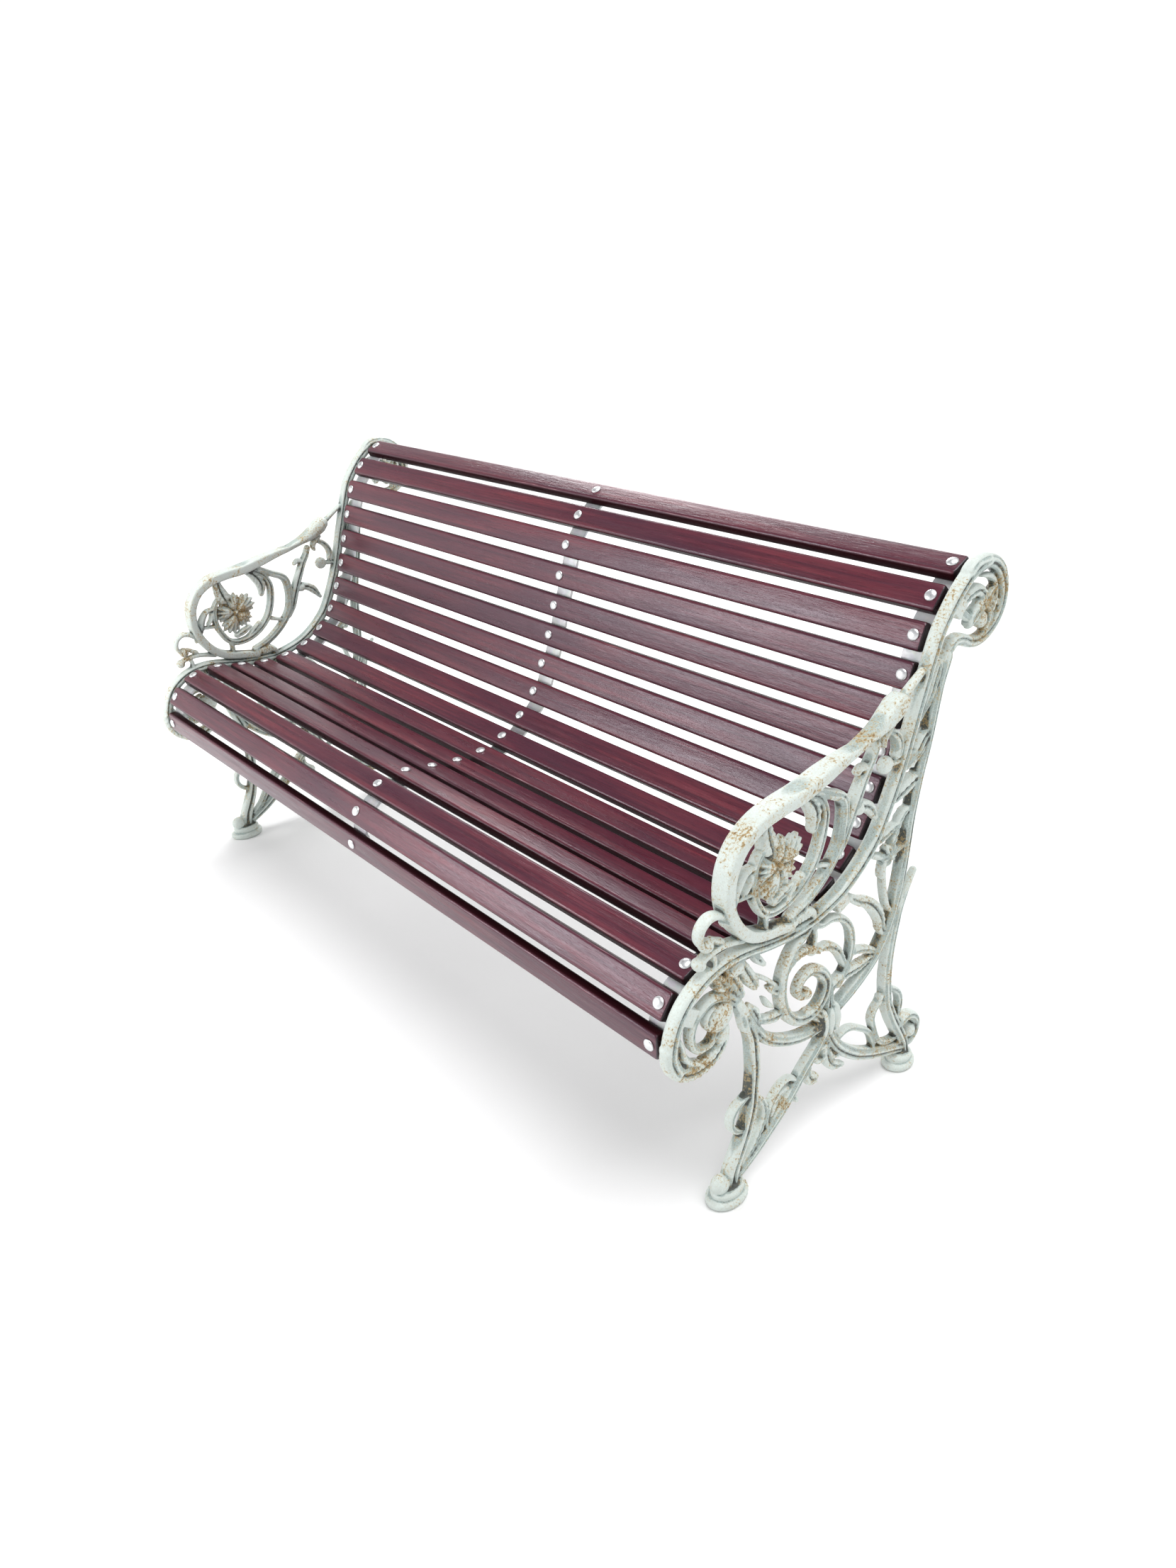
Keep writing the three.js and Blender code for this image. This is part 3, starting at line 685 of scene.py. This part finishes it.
class Casting:
    """Collects the closed shells that are later merged into one surface."""

    def __init__(self):
        self.verts = []
        self.faces = []

    def shell(self, verts, faces):
        start = len(self.verts)
        self.verts += [tuple(v) for v in verts]
        self.faces += [tuple(start + k for k in face) for face in faces]

    def member(self, points, widths, thickness, relief=plain, tips=(1, 1), blunt=3.2):
        """tips say how far each end is rounded off, in half widths; zero leaves it square.
        blunt squares up the section: 2 is an ellipse, and more is boxier."""
        curve = Spline(points)
        count = max(6, int(round(curve.length / SECTION_STEP)))
        distances = np.linspace(0, curve.length, count + 1)
        fractions = distances / curve.length
        half = np.interp(fractions, np.linspace(0, 1, np.size(widths)), np.ravel(widths)) / 2
        deep = np.interp(fractions, np.linspace(0, 1, np.size(thickness)), np.ravel(thickness)) / 2
        for tip, from_end in ((tips[0], distances), (tips[1], curve.length - distances)):
            if tip:
                reach = np.maximum(tip * half, 0.1)
                short = np.clip(1 - from_end / reach, 0, 0.985)
                rounding = np.sqrt(1 - short ** 2)
                half, deep = half * rounding, deep * (0.35 + 0.65 * rounding)
        at, along = curve.at(distances), curve.along(distances)
        heading = np.unwrap(np.arctan2(along[:, 1], along[:, 0]))
        bend = np.gradient(heading, distances)
        room = 0.9 / np.maximum(np.abs(bend), 1e-6)
        left = np.where(bend > 0, np.minimum(half, room), half)
        right = np.where(bend < 0, np.minimum(half, room), half)
        s = np.sin(np.linspace(-math.pi / 2, math.pi / 2, SECTION_POINTS))
        edge = (1 - np.abs(s) ** blunt) ** (1 / blunt)
        rings = []
        for i in range(count + 1):
            normal = np.array([-along[i][1], along[i][0]])
            across = np.where(s > 0, s * left[i], s * right[i])
            height = deep[i] * edge * relief(s, distances[i])
            yz = at[i] + across[:, None] * normal
            upper = np.column_stack([CASTING_X + height, yz])
            lower = np.column_stack([CASTING_X - height, yz])
            rings.append(np.vstack([upper, lower[-2:0:-1]]))
        self.shell(*loft(rings))

    def dome(self, y, z, radius, thickness, stretch=1.0, turn=0.0, dimple=0.0):
        """A round boss, raised on both faces, that may be oval and dimpled."""
        rings = []
        sides = 24
        for k in range(1, 12):
            angle = math.pi * k / 12
            out = math.sin(angle) ** 0.8
            level = math.cos(angle) * (thickness / 2)
            level *= 1 - dimple * max(0.0, 1 - (out / 0.75) ** 2)
            ring = []
            for j in range(sides):
                a = 2 * math.pi * j / sides
                u, v = out * radius * math.cos(a) * stretch, out * radius * math.sin(a)
                ring.append((CASTING_X + level, y + u * math.cos(turn) - v * math.sin(turn),
                             z + u * math.sin(turn) + v * math.cos(turn)))
            rings.append(ring)
        self.shell(*loft(rings))

    def ball(self, x, y, z, rx, ry, rz, turn=None):
        rings = []
        for k in range(1, 10):
            angle = math.pi * k / 10
            ring = []
            for j in range(16):
                a = 2 * math.pi * j / 16
                spot = Vector((rx * math.sin(angle) * math.cos(a), ry * math.sin(angle) * math.sin(a),
                               rz * math.cos(angle)))
                spot = turn @ spot if turn else spot
                ring.append((x + spot.x, y + spot.y, z + spot.z))
            rings.append(ring[::-1])
        self.shell(*loft(rings))

    def turned(self, y, profile, half_x, half_y):
        """An oval turned foot: profile is (scale, height) from the ground up."""
        rings = []
        for scale, height in profile:
            angles = [2 * math.pi * k / 40 for k in range(40)]
            rings.append([(CASTING_X + half_x * scale * math.cos(a), y + half_y * scale * math.sin(a), height)
                          for a in angles])
        self.shell(*loft(rings))


def add_rail(c):
    points = [place_on_slats(d, -4.5)[0] for d in np.linspace(0, slat_line.length, 30)]
    c.member(points, 18.5, 22, moulded_back, tips=(0, 0))


def add_back_volute(c):
    c.member([(228, 814), (245, 827), (268, 830), (292, 824), (313, 808), (326, 785), (328, 760),
        (318, 738), (300, 724), (277, 718), (255, 721), (238, 728), (218, 731), (204, 718)],
        [18, 20, 20, 18, 17, 17], [22, 21, 20, 18, 20], moulded_back)
    c.member([(204, 794), (214, 786), (224, 782), (240, 790), (262, 792), (284, 777), (305, 770),
        (329, 757)], [10, 16, 18, 15, 12, 5], [16, 20, 18, 13], veined)
    c.member([(202, 786), (218, 776), (230, 766), (246, 756), (252, 748)], [14, 14, 12, 10], 15, fluted)
    c.member([(248, 742), (252, 756), (264, 766), (282, 769), (297, 759), (300, 742), (291, 727)],
        [8, 11, 12, 11, 8], 17, beaded)
    c.member([(304, 790), (292, 780), (276, 770), (260, 756), (248, 740)], [8, 20, 25, 21, 8],
        [12, 19, 20, 17, 12], veined)
    c.dome(280, 747, 13, 22, stretch=0.85, turn=0.3, dimple=0.2)
    c.member([(262, 811), (288, 806), (303, 793), (309, 774), (306, 752)], [5, 10, 10, 7], 14, crested)


def add_stile(c):
    c.member([(206, 722), (196, 692), (190, 668), (181, 600), (169, 540), (162, 480), (160, 420),
        (156, 372), (145, 325), (132, 295), (112, 268), (85, 248), (55, 232), (25, 220), (5, 210),
        (-20, 208), (-50, 212), (-80, 222), (-110, 238), (-135, 258), (-155, 283), (-172, 310), (-188, 335),
        (-203, 356), (-222, 371), (-245, 377), (-262, 371), (-275, 360), (-281, 342), (-278, 324),
        (-268, 311), (-254, 306)], [20, 19, 18, 18, 18, 18, 18, 17, 14, 11], [21, 21, 21, 21, 20, 18, 16],
        moulded, tips=(1, 1))
    c.member([(-262, 308), (-246, 308), (-236, 318), (-230, 334)], [7, 10, 14], 16, beaded)
    c.dome(-227, 341, 21, 24, stretch=1.15, turn=0.5)
    c.member([(-246, 330), (-254, 344), (-250, 358), (-236, 364)], [6, 9, 8, 5], 14, crested)


def add_front_volute(c):
    c.member([(-318, 340), (-316, 316), (-305, 297), (-285, 283), (-262, 278), (-238, 283), (-222, 298),
        (-218, 318)], [18, 20, 23, 24, 22, 18], [22, 22, 20, 18], veined, tips=(0, 1))
    c.member([(-312, 356), (-300, 334), (-294, 314), (-280, 296), (-262, 288)], [10, 13, 13, 9], 18, crested)
    c.dome(-222, 312, 13, 20, stretch=1.3, turn=1.2)


def add_front_leg(c):
    c.member([(-176, 306), (-162, 275), (-156, 245), (-152, 210), (-152, 180), (-153, 150), (-158, 125),
        (-165, 100), (-175, 75), (-185, 50), (-191, 18)], [16, 20, 20, 20, 22, 25, 28], [21, 21, 22, 23],
        beaded, tips=(1, 0))
    c.member([(-200, 352), (-186, 332), (-176, 306), (-170, 288)], [10, 16, 18, 18], 19, moulded)
    c.member([(-156, 174), (-172, 168), (-185, 162), (-193, 149), (-192, 133), (-181, 119), (-162, 111)],
        [7, 10, 11, 10, 8], 15, beaded)
    c.member([(-148, 158), (-134, 148), (-125, 131), (-123, 110), (-131, 90), (-147, 66), (-170, 46)],
        [7, 13, 15, 14, 12, 9], 17, veined)
    c.ball(CASTING_X, -207, 35, 13, 15, 15)


def add_rear_leg(c):
    c.member([(200, 388), (183, 364), (168, 335), (160, 305), (155, 270), (154, 235), (157, 200),
        (166, 160), (177, 137), (190, 113), (206, 88), (221, 64), (232, 42), (236, 16)],
        [5, 15, 19, 20, 20, 20, 21, 22, 23], [12, 19, 21, 21, 21], moulded, tips=(2, 0))
    c.member([(148, 184), (145, 170), (134, 160), (130, 146), (136, 128), (144, 110), (154, 92), (170, 78),
        (192, 70), (212, 70)], [8, 10, 10, 9], 15, beaded)
    c.member([(160, 188), (178, 178), (196, 163), (205, 142), (204, 122), (197, 106)], [7, 11, 12, 9], 15,
        beaded)
    c.member([(201, 94), (216, 92), (234, 96), (252, 87), (264, 68), (263, 48), (252, 37), (240, 40)],
        [14, 17, 16, 14, 12], [20, 21, 18], moulded)
    c.dome(247, 60, 12, 24)


def add_stretchers(c):
    c.member([(14, 198), (-8, 170), (-38, 142), (-62, 116), (-88, 92), (-115, 72), (-140, 54), (-178, 32)],
        [18, 21, 22, 22, 18], 19, moulded, tips=(0, 1))
    c.member([(10, 192), (35, 152), (62, 124), (95, 98), (130, 78), (165, 62), (200, 48), (234, 34)],
        [18, 21, 22, 22, 19], 19, moulded_back, tips=(0, 1))
    c.member([(-112, 74), (-116, 100), (-108, 126), (-92, 143), (-72, 147), (-56, 136), (-46, 118)],
        [8, 10, 10, 8], 14, crested)
    c.member([(-106, 96), (-98, 118), (-84, 130), (-68, 130)], [5, 10, 11, 6], 13, veined)
    c.member([(34, 138), (43, 156), (62, 161), (80, 156), (100, 143), (120, 128), (134, 110), (142, 86),
        (138, 70)], [8, 10, 10, 8], 14, beaded)
    c.member([(-72, 124), (-60, 108), (-50, 96), (-44, 88)], [8, 14, 12, 5], [16, 18, 12], veined)
    c.member([(-2, 188), (-13, 160), (-6, 141), (7, 137), (16, 148), (10, 160), (-2, 161)], [8, 8, 7], 14,
        beaded)
    c.member([(-14, 172), (-24, 152), (-26, 132), (-16, 114), (2, 106)], [6, 10, 15, 22, 18], 16, veined)
    c.member([(16, 180), (15, 152), (24, 126), (42, 106), (66, 96)], [8, 15, 19, 17, 6], 16, veined)
    c.member([(20, 150), (30, 132), (48, 122)], [6, 10, 7], 18, crested)


def add_clasp(c):
    c.member([(-10, 212), (36, 206)], [34, 44, 34], 23, plain)
    for offset in (-14, 0, 14):
        c.member([(offset + 8, 236), (offset + 12, 210), (offset + 14, 182)], [8, 12, 13, 12, 8],
            [22, 29, 22], plain)


def add_arm(c):
    c.member([(156, 708), (140, 698), (120, 685), (100, 670), (80, 657)], [7, 9, 10, 10, 8],
        [12, 14, 16, 16], ridged, tips=(1, 1))
    c.member([(112, 683), (102, 676), (86, 665), (66, 654), (44, 646), (20, 640), (-2, 635)],
        [20, 31, 27, 20, 14, 9, 5], [30, 36, 33, 29, 26, 24, 24], ridged, tips=(0.7, 2))
    c.member([(52, 643), (34, 640), (12, 635.5), (-20, 630), (-60, 621), (-100, 612), (-140, 608),
        (-175, 601), (-205, 584), (-223, 557), (-228, 527), (-224, 500), (-212, 476), (-196, 456),
        (-176, 441), (-150, 432), (-120, 426), (-88, 420)], [6, 13, 19, 20, 19, 18, 17, 17, 17, 16, 14],
        [18, 25, 31, 32, 31, 30, 28, 26, 23, 21], plain, tips=(2, 1), blunt=5.5)
    c.member([(96, 650), (84, 644), (74, 632), (76, 618)], [6, 12, 12, 5], [16, 20, 17], crested)
    c.member([(76, 642), (95, 635), (108, 622), (113, 606), (108, 592)], [8, 12, 12, 9], [16, 20, 17], beaded)
    c.dome(88, 589, 13, 20, dimple=0.35)
    c.member([(92, 589), (118, 586)], [10, 9], 14, crested)


def add_arm_scrolls(c):
    c.member([(-104, 611), (-84, 601), (-69, 585), (-62, 566), (-66, 544)], [8, 18, 24, 20, 7],
        [18, 21, 16], veined)
    c.member([(-82, 607), (-62, 596), (-50, 584), (-42, 565), (-43, 542), (-48, 520), (-58, 498),
        (-74, 480), (-93, 467), (-115, 459), (-138, 458), (-155, 466), (-167, 482), (-175, 500),
        (-178, 520), (-175, 540), (-167, 554), (-152, 560)], [10, 14, 14, 14, 13, 12, 9], [18, 18, 16],
        beaded)
    c.member([(-66, 606), (-34, 589), (-14, 580), (-3, 568), (1, 545), (0, 525), (-4, 506), (-14, 488),
        (-32, 468), (-54, 451), (-77, 439), (-104, 430)], [12, 16, 16, 16, 14], [19, 19, 17], moulded)
    c.member([(-56, 495), (-36, 487), (-16, 479)], [10, 7, 10], 14, plain)
    c.member([(-152, 466), (-149, 450), (-150, 432)], [10, 8, 11], 15, plain)
    c.member([(-228, 476), (-214, 500), (-207, 520), (-194, 537), (-176, 541)], [6, 14, 16, 12, 6], 17,
        crested)
    c.member([(-208, 505), (-172, 502)], [7, 7], 12, plain)
    c.member([(-196, 508), (-186, 520), (-184, 534)], [5, 8, 5], 18, crested)
    c.member([(-158, 611), (-160, 590), (-154, 566), (-146, 548)], [7, 18, 28, 30], [18, 22, 26], veined)
    c.member([(62, 634), (53, 613), (43, 598), (34, 580), (22, 555), (13, 532), (4, 508), (-12, 484)],
        [10, 14, 17, 17, 13], [17, 20, 17], beaded)
    c.member([(44, 600), (30, 604), (20, 596)], [13, 12, 5], 15, crested)
    c.member([(10, 546), (34, 548), (58, 537), (78, 512)], [8, 17, 18, 6], [16, 18, 14], veined)
    c.dome(31, 545, 9.5, 24)
    c.member([(-140, 470), (-118, 478), (-98, 488)], [9, 14, 6], 17, veined)
    c.member([(-112, 462), (-92, 476), (-76, 492)], [8, 13, 6], 16, veined)


FLOWER_Y, FLOWER_Z = -130, 524
PETAL_REACHES = (44, 38, 41, 43, 37)


def petal_height(along, across):
    """Half the thickness of a petal: hollow at the eye, swelling, and thin at a curled rim."""
    swell = 2.6 + 8.4 * math.sin(math.pi * min(1.0, along * 0.98) ** 0.85) * (1 - 0.30 * along)
    ribs = 2.0 * math.cos(across * 5 * math.pi) * along * (1.1 - 0.5 * along)
    valley = 1 - 0.70 * abs(across) ** 2.5
    return max(0.9, (swell + ribs) * valley)


def petal_border(rows, columns):
    """The numbers of the points round a petal's grid, in order."""
    border = list(range(rows)) + [j * rows + rows - 1 for j in range(1, columns)]
    border += [(columns - 1) * rows + i for i in range(rows - 2, -1, -1)]
    return border + [j * rows for j in range(columns - 2, 0, -1)]


def add_petal(c, heading, reach, rows=16, columns=33):
    upper, lower = [], []
    for j in range(columns):
        across = j / (columns - 1) * 2 - 1
        rim = reach * (1 - 0.34 * across ** 4) * (1 + 0.075 * math.cos(across * 5 * math.pi))
        for i in range(rows):
            along = i / (rows - 1)
            angle = heading + across * (0.60 + 0.06 * along)
            height = petal_height(along, across)
            radius = 2 + rim * along
            y, z = FLOWER_Y + radius * math.cos(angle), FLOWER_Z + radius * math.sin(angle)
            upper.append((CASTING_X + height, y, z))
            lower.append((CASTING_X - height, y, z))
    faces = []
    for j in range(columns - 1):
        for i in range(rows - 1):
            a, b = j * rows + i, (j + 1) * rows + i
            faces.append((a, a + 1, b + 1, b))
    back = len(upper)
    faces += [tuple(back + k for k in face[::-1]) for face in faces]
    border = petal_border(rows, columns)
    for k, here in enumerate(border):
        after = border[(k + 1) % len(border)]
        faces.append((after, here, back + here, back + after))
    c.shell(upper + lower, faces)


def add_flower(c):
    """Five ribbed petals with ragged rims round a small eye, shown on both faces."""
    for petal, reach in enumerate(PETAL_REACHES):
        add_petal(c, 0.5 + petal * 2 * math.pi / len(PETAL_REACHES), reach)
    c.dome(FLOWER_Y, FLOWER_Z, 6, 22)
    c.dome(FLOWER_Y, FLOWER_Z, 2.5, 27)


def add_front_curl(c):
    c.member([(-212, 478), (-229, 491), (-242, 499), (-256, 500), (-268, 491), (-271, 476), (-263, 463)],
        [9, 10, 9, 8], [17, 18, 16], plain, blunt=2.4)
    c.ball(CASTING_X, -257, 463, 11, 10, 10)
    c.member([(-188, 440), (-212, 447), (-236, 450), (-258, 447), (-268, 441)], [9, 8, 8], 15, plain)
    c.ball(CASTING_X, -268, 440, 10, 9, 9)
    c.member([(-248, 446), (-243, 436), (-246, 422)], [8, 7, 10], 14, plain)
    c.member([(-250, 470), (-240, 462), (-226, 456)], [6, 9, 7], 14, crested)
    for k in range(7):
        c.member([(-98 + k * 6.2, 434), (-96 + k * 6.2, 418)], [5.5, 5.5], [20, 23], plain)
    c.member([(-72, 434), (-56, 424), (-50, 412)], [9, 13, 9], [20, 26, 20], plain)


def add_seat_rings(c):
    c.member([(-50, 404), (-66, 390), (-86, 377), (-101, 352), (-105, 322), (-99, 293), (-86, 268),
        (-65, 249), (-40, 241), (-18, 246), (-4, 262), (-2, 285), (-18, 308), (-42, 320), (-60, 315),
        (-68, 300), (-60, 286), (-44, 281)], [13, 16, 17, 17, 18, 20, 18, 14, 9], [19, 20, 20, 18, 16],
        moulded)
    c.member([(-102, 338), (-88, 354), (-70, 361), (-48, 358), (-24, 343)], [6, 12, 14, 12, 5], 16, veined)
    c.dome(-46, 284, 9, 20)
    c.member([(-46, 401), (-28, 389), (-4, 388), (22, 377), (42, 355), (51, 327), (49, 300), (38, 280),
        (26, 256)], [10, 12, 12, 12], 16, beaded)
    c.member([(-34, 350), (-6, 344), (16, 328), (30, 308), (43, 284)], [6, 14, 15, 12, 8], [15, 18, 15],
        veined)
    c.member([(-42, 358), (-40, 380), (-50, 404)], [9, 8, 12], 15, plain)
    c.dome(-44, 356, 9, 21)
    c.member([(-4, 248), (10, 264), (38, 273), (75, 271), (114, 274)], [8, 17, 20, 16, 7], [16, 19, 15],
        veined)
    c.member([(48, 303), (70, 301), (92, 292), (120, 276)], [5, 13, 13, 8], 15, veined)
    c.member([(-48, 250), (-26, 240), (-12, 228), (-2, 210)], [8, 20, 22, 10], [18, 21, 17], fluted)
    c.member([(10, 266), (10, 242), (8, 214)], [8, 18, 14], [16, 20, 17], fluted)
    c.member([(-24, 300), (-8, 296), (6, 286)], [5, 11, 5], 15, veined)


def add_stile_branches(c):
    c.member([(30, 410), (56, 391), (80, 378), (102, 358), (118, 335), (126, 312), (140, 298)],
        [10, 15, 19, 22, 18, 10], [17, 19, 18, 15], veined)
    c.member([(112, 410), (120, 380), (132, 350), (148, 334)], [7, 9, 7], 14, plain)
    c.member([(188, 714), (184, 696), (176, 676), (166, 656), (150, 634)], [10, 26, 20, 13, 8],
        [17, 22, 16], fluted)
    c.member([(200, 690), (190, 664), (184, 640)], [6, 9, 6], 18, crested)
    c.member([(190, 622), (170, 602), (152, 584), (126, 570)], [10, 26, 26, 12], [16, 22, 18], fluted)
    c.member([(178, 562), (162, 547), (142, 540), (110, 526)], [8, 22, 24, 12], [16, 21, 17], veined)
    c.member([(170, 502), (150, 501), (136, 488), (128, 462), (120, 440)], [6, 13, 12, 12], 16, veined)
    c.member([(138, 488), (114, 479), (92, 474), (72, 472)], [7, 15, 15, 9], 15, veined)
    for k in range(5):
        angle = 0.7 + k * 2 * math.pi / 5
        c.member([(120, 440), (120 + 19 * math.cos(angle), 440 + 19 * math.sin(angle))], [10, 15, 7],
            [22, 17], veined)
    c.dome(120, 440, 6, 25)
    c.member([(124, 440), (142, 443), (164, 446)], [12, 14, 10], 14, plain)
    c.member([(118, 440), (94, 447), (64, 464)], [12, 12, 8], 14, crested)
    c.member([(112, 440), (109, 420), (112, 404)], [12, 10, 12], 15, plain)


def add_front_sprays(c):
    c.member([(-246, 414), (-232, 400), (-222, 386), (-208, 370)], [8, 15, 16, 8], 16, veined)
    c.member([(-220, 418), (-212, 398), (-200, 378), (-184, 350)], [8, 18, 19, 9], [15, 19, 15], veined)
    c.member([(-198, 418), (-186, 396), (-170, 370), (-156, 350)], [8, 18, 21, 12], [15, 19, 15], veined)
    c.member([(-172, 412), (-158, 396), (-143, 380)], [7, 13, 6], 15, veined)
    c.member([(-240, 392), (-224, 384), (-210, 390)], [6, 9, 6], 19, crested)
    c.member([(-88, 282), (-112, 280), (-138, 288), (-154, 298)], [7, 17, 14, 6], 15, veined)
    c.member([(-96, 316), (-116, 325), (-133, 339)], [7, 14, 5], 14, veined)
    c.member([(-146, 286), (-158, 310), (-172, 330)], [8, 18, 8], 15, veined)
    c.member([(-120, 300), (-132, 312), (-140, 326)], [5, 10, 5], 14, crested)
    c.member([(-168, 374), (-150, 364), (-132, 349), (-112, 328), (-100, 312)], [6, 6.5, 6], 11, plain)


FOOT_BEADS = 30


def add_foot(c, y, half_x, half_y):
    """A stepped pad with a ring of slanting beads round its rim."""
    c.turned(y, [(0.90, 0), (0.97, 1.2), (1.0, 4), (1.0, 8), (0.96, 11), (0.84, 13), (0.78, 14.5), (0.80, 17),
                 (0.83, 20), (0.80, 23), (0.70, 25.5), (0.50, 27)], half_x, half_y)
    for k in range(FOOT_BEADS):
        angle = 2 * math.pi * k / FOOT_BEADS
        spin = Matrix.Rotation(angle, 3, "Z") @ Matrix.Rotation(0.6, 3, "X")
        bead_x = CASTING_X + half_x * 0.97 * math.cos(angle)
        bead_y = y + half_y * 0.97 * math.sin(angle)
        c.ball(bead_x, bead_y, 7.2, 2.0, 2.6, 5.4, turn=spin)


BOX_FACES = [(0, 1, 2, 3), (7, 6, 5, 4), (0, 4, 5, 1), (1, 5, 6, 2), (2, 6, 7, 3), (3, 7, 4, 0)]


def add_lugs(c):
    """An angle under the end strap at each lug station: a plate under the strap and a web to the rail."""
    half = LUG_THICKNESS / 2
    depth = SLAT_THICKNESS + 2 * CLEARANCE + STRAP_THICKNESS + half
    for number in LUG_STATIONS:
        at, along, out = station(number - 1)
        for x0, x1, d0, d1 in ((701, 748, depth - half, depth + half), (736, 753, 6, depth + half)):
            corners = []
            for x in (x0, x1):
                for run, deep in ((-12, d0), (12, d0), (12, d1), (-12, d1)):
                    y, z = at + along * run - out * deep
                    corners.append((x, y, z))
            c.shell(corners, BOX_FACES)


RUSTY_PLACES = [
    # y, z, reach, strength
    (-130, 524, 52, 1.15), (-262, 284, 48, 1.0), (-60, 300, 46, 0.9), (-40, 345, 40, 0.7),
    (-225, 385, 40, 0.7), (300, 768, 30, 0.9), (205, 712, 22, 0.4), (285, 752, 30, 1.1),
    (-256, 462, 22, 0.8), (-200, 600, 45, 0.35),
    (60, 640, 50, 0.5), (-100, 255, 40, 0.5), (120, 445, 34, 0.5), (-70, 110, 50, 0.55), (-155, 330, 30, 0.5),
    (-90, 425, 60, 0.4), (110, 680, 22, 0.35), (150, 60, 60, 0.4), (-30, 240, 36, 0.5),
]


BLUR_PASSES = 12
SOFTEN_PASSES = 2


def read_rows(items, name, width, kind=float):
    """A property of every vertex or edge, as the rows of an array."""
    values = np.empty(len(items) * width, kind)
    items.foreach_get(name, values)
    return values.reshape(-1, width)


def measure_surface(data):
    """Stores how hollow the surface is at each point, and how rusty its region is."""
    count = len(data.vertices)
    place = read_rows(data.vertices, "co", 3)
    normal = read_rows(data.vertices, "normal", 3)
    ends = read_rows(data.edges, "vertices", 2, int)
    neighbours = np.bincount(ends.ravel(), minlength=count).clip(1)

    def averaged(values):
        total = np.bincount(ends[:, 0], values[ends[:, 1]], count)
        total += np.bincount(ends[:, 1], values[ends[:, 0]], count)
        return total / neighbours

    blurred = place.copy()
    for _ in range(BLUR_PASSES):
        blurred = np.column_stack([averaged(blurred[:, k]) for k in range(3)])
    hollow = np.einsum("ij,ij->i", blurred - place, normal) / MM
    for _ in range(SOFTEN_PASSES):
        hollow = averaged(hollow)
    rusty = np.zeros(count)
    y, z = place[:, 1] / MM - SHIFT_Y, place[:, 2] / MM
    for at_y, at_z, reach, strength in RUSTY_PLACES:
        rusty = np.maximum(rusty, strength * np.exp(-((y - at_y) ** 2 + (z - at_z) ** 2) / reach ** 2))
    data.attributes.new("cavity", "FLOAT", "POINT").data.foreach_set("value", hollow)
    data.attributes.new("rusty", "FLOAT", "POINT").data.foreach_set("value", rusty)


FACE_LIMIT = 190_000
VOXEL = 0.0012


def casting_mesh():
    """Merges the shells into one closed skin whose joints are softened like a real casting."""
    c = Casting()
    for add in (add_rail, add_back_volute, add_stile, add_front_volute, add_front_leg, add_rear_leg,
                add_stretchers, add_clasp, add_arm, add_arm_scrolls, add_flower, add_front_curl,
                add_seat_rings, add_stile_branches, add_front_sprays, add_lugs):
        add(c)
    add_foot(c, -191, 24.5, 35.5)
    add_foot(c, 230, 23.5, 29.5)
    verts = [(x * MM, (y + SHIFT_Y) * MM, z * MM) for x, y, z in c.verts]
    blank = in_scene("blank", new_mesh("casting", verts, c.faces))
    voxel = VOXEL
    skin = applied(blank, ("REMESH", {"mode": "VOXEL", "voxel_size": voxel}),
                   ("SMOOTH", {"factor": 0.5, "iterations": 2}))
    triangles = 2 * len(skin.polygons)
    if triangles > FACE_LIMIT:
        blank.data = skin
        skin = applied(blank, ("DECIMATE", {"ratio": FACE_LIMIT / triangles}))
    bpy.data.objects.remove(blank)
    return skin


def make_castings(material):
    right = casting_mesh()
    left = right.copy()
    left.transform(Matrix.Scale(-1, 4, (1, 0, 0)))
    left.flip_normals()
    for name, data in (("right", right), ("left", left)):
        measure_surface(data)
        piece = finish_object(f"{name}_end_casting", data, material, 0)
        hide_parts(f"{name}_casting")


# ---- the scene ----

make_camera()
make_lights()
make_floor()
bpy.context.scene.view_settings.view_transform = "Standard"
make_castings(paint_material())
make_slats(wood_material())
make_straps(galvanised_material())
make_bolts(zinc_material())
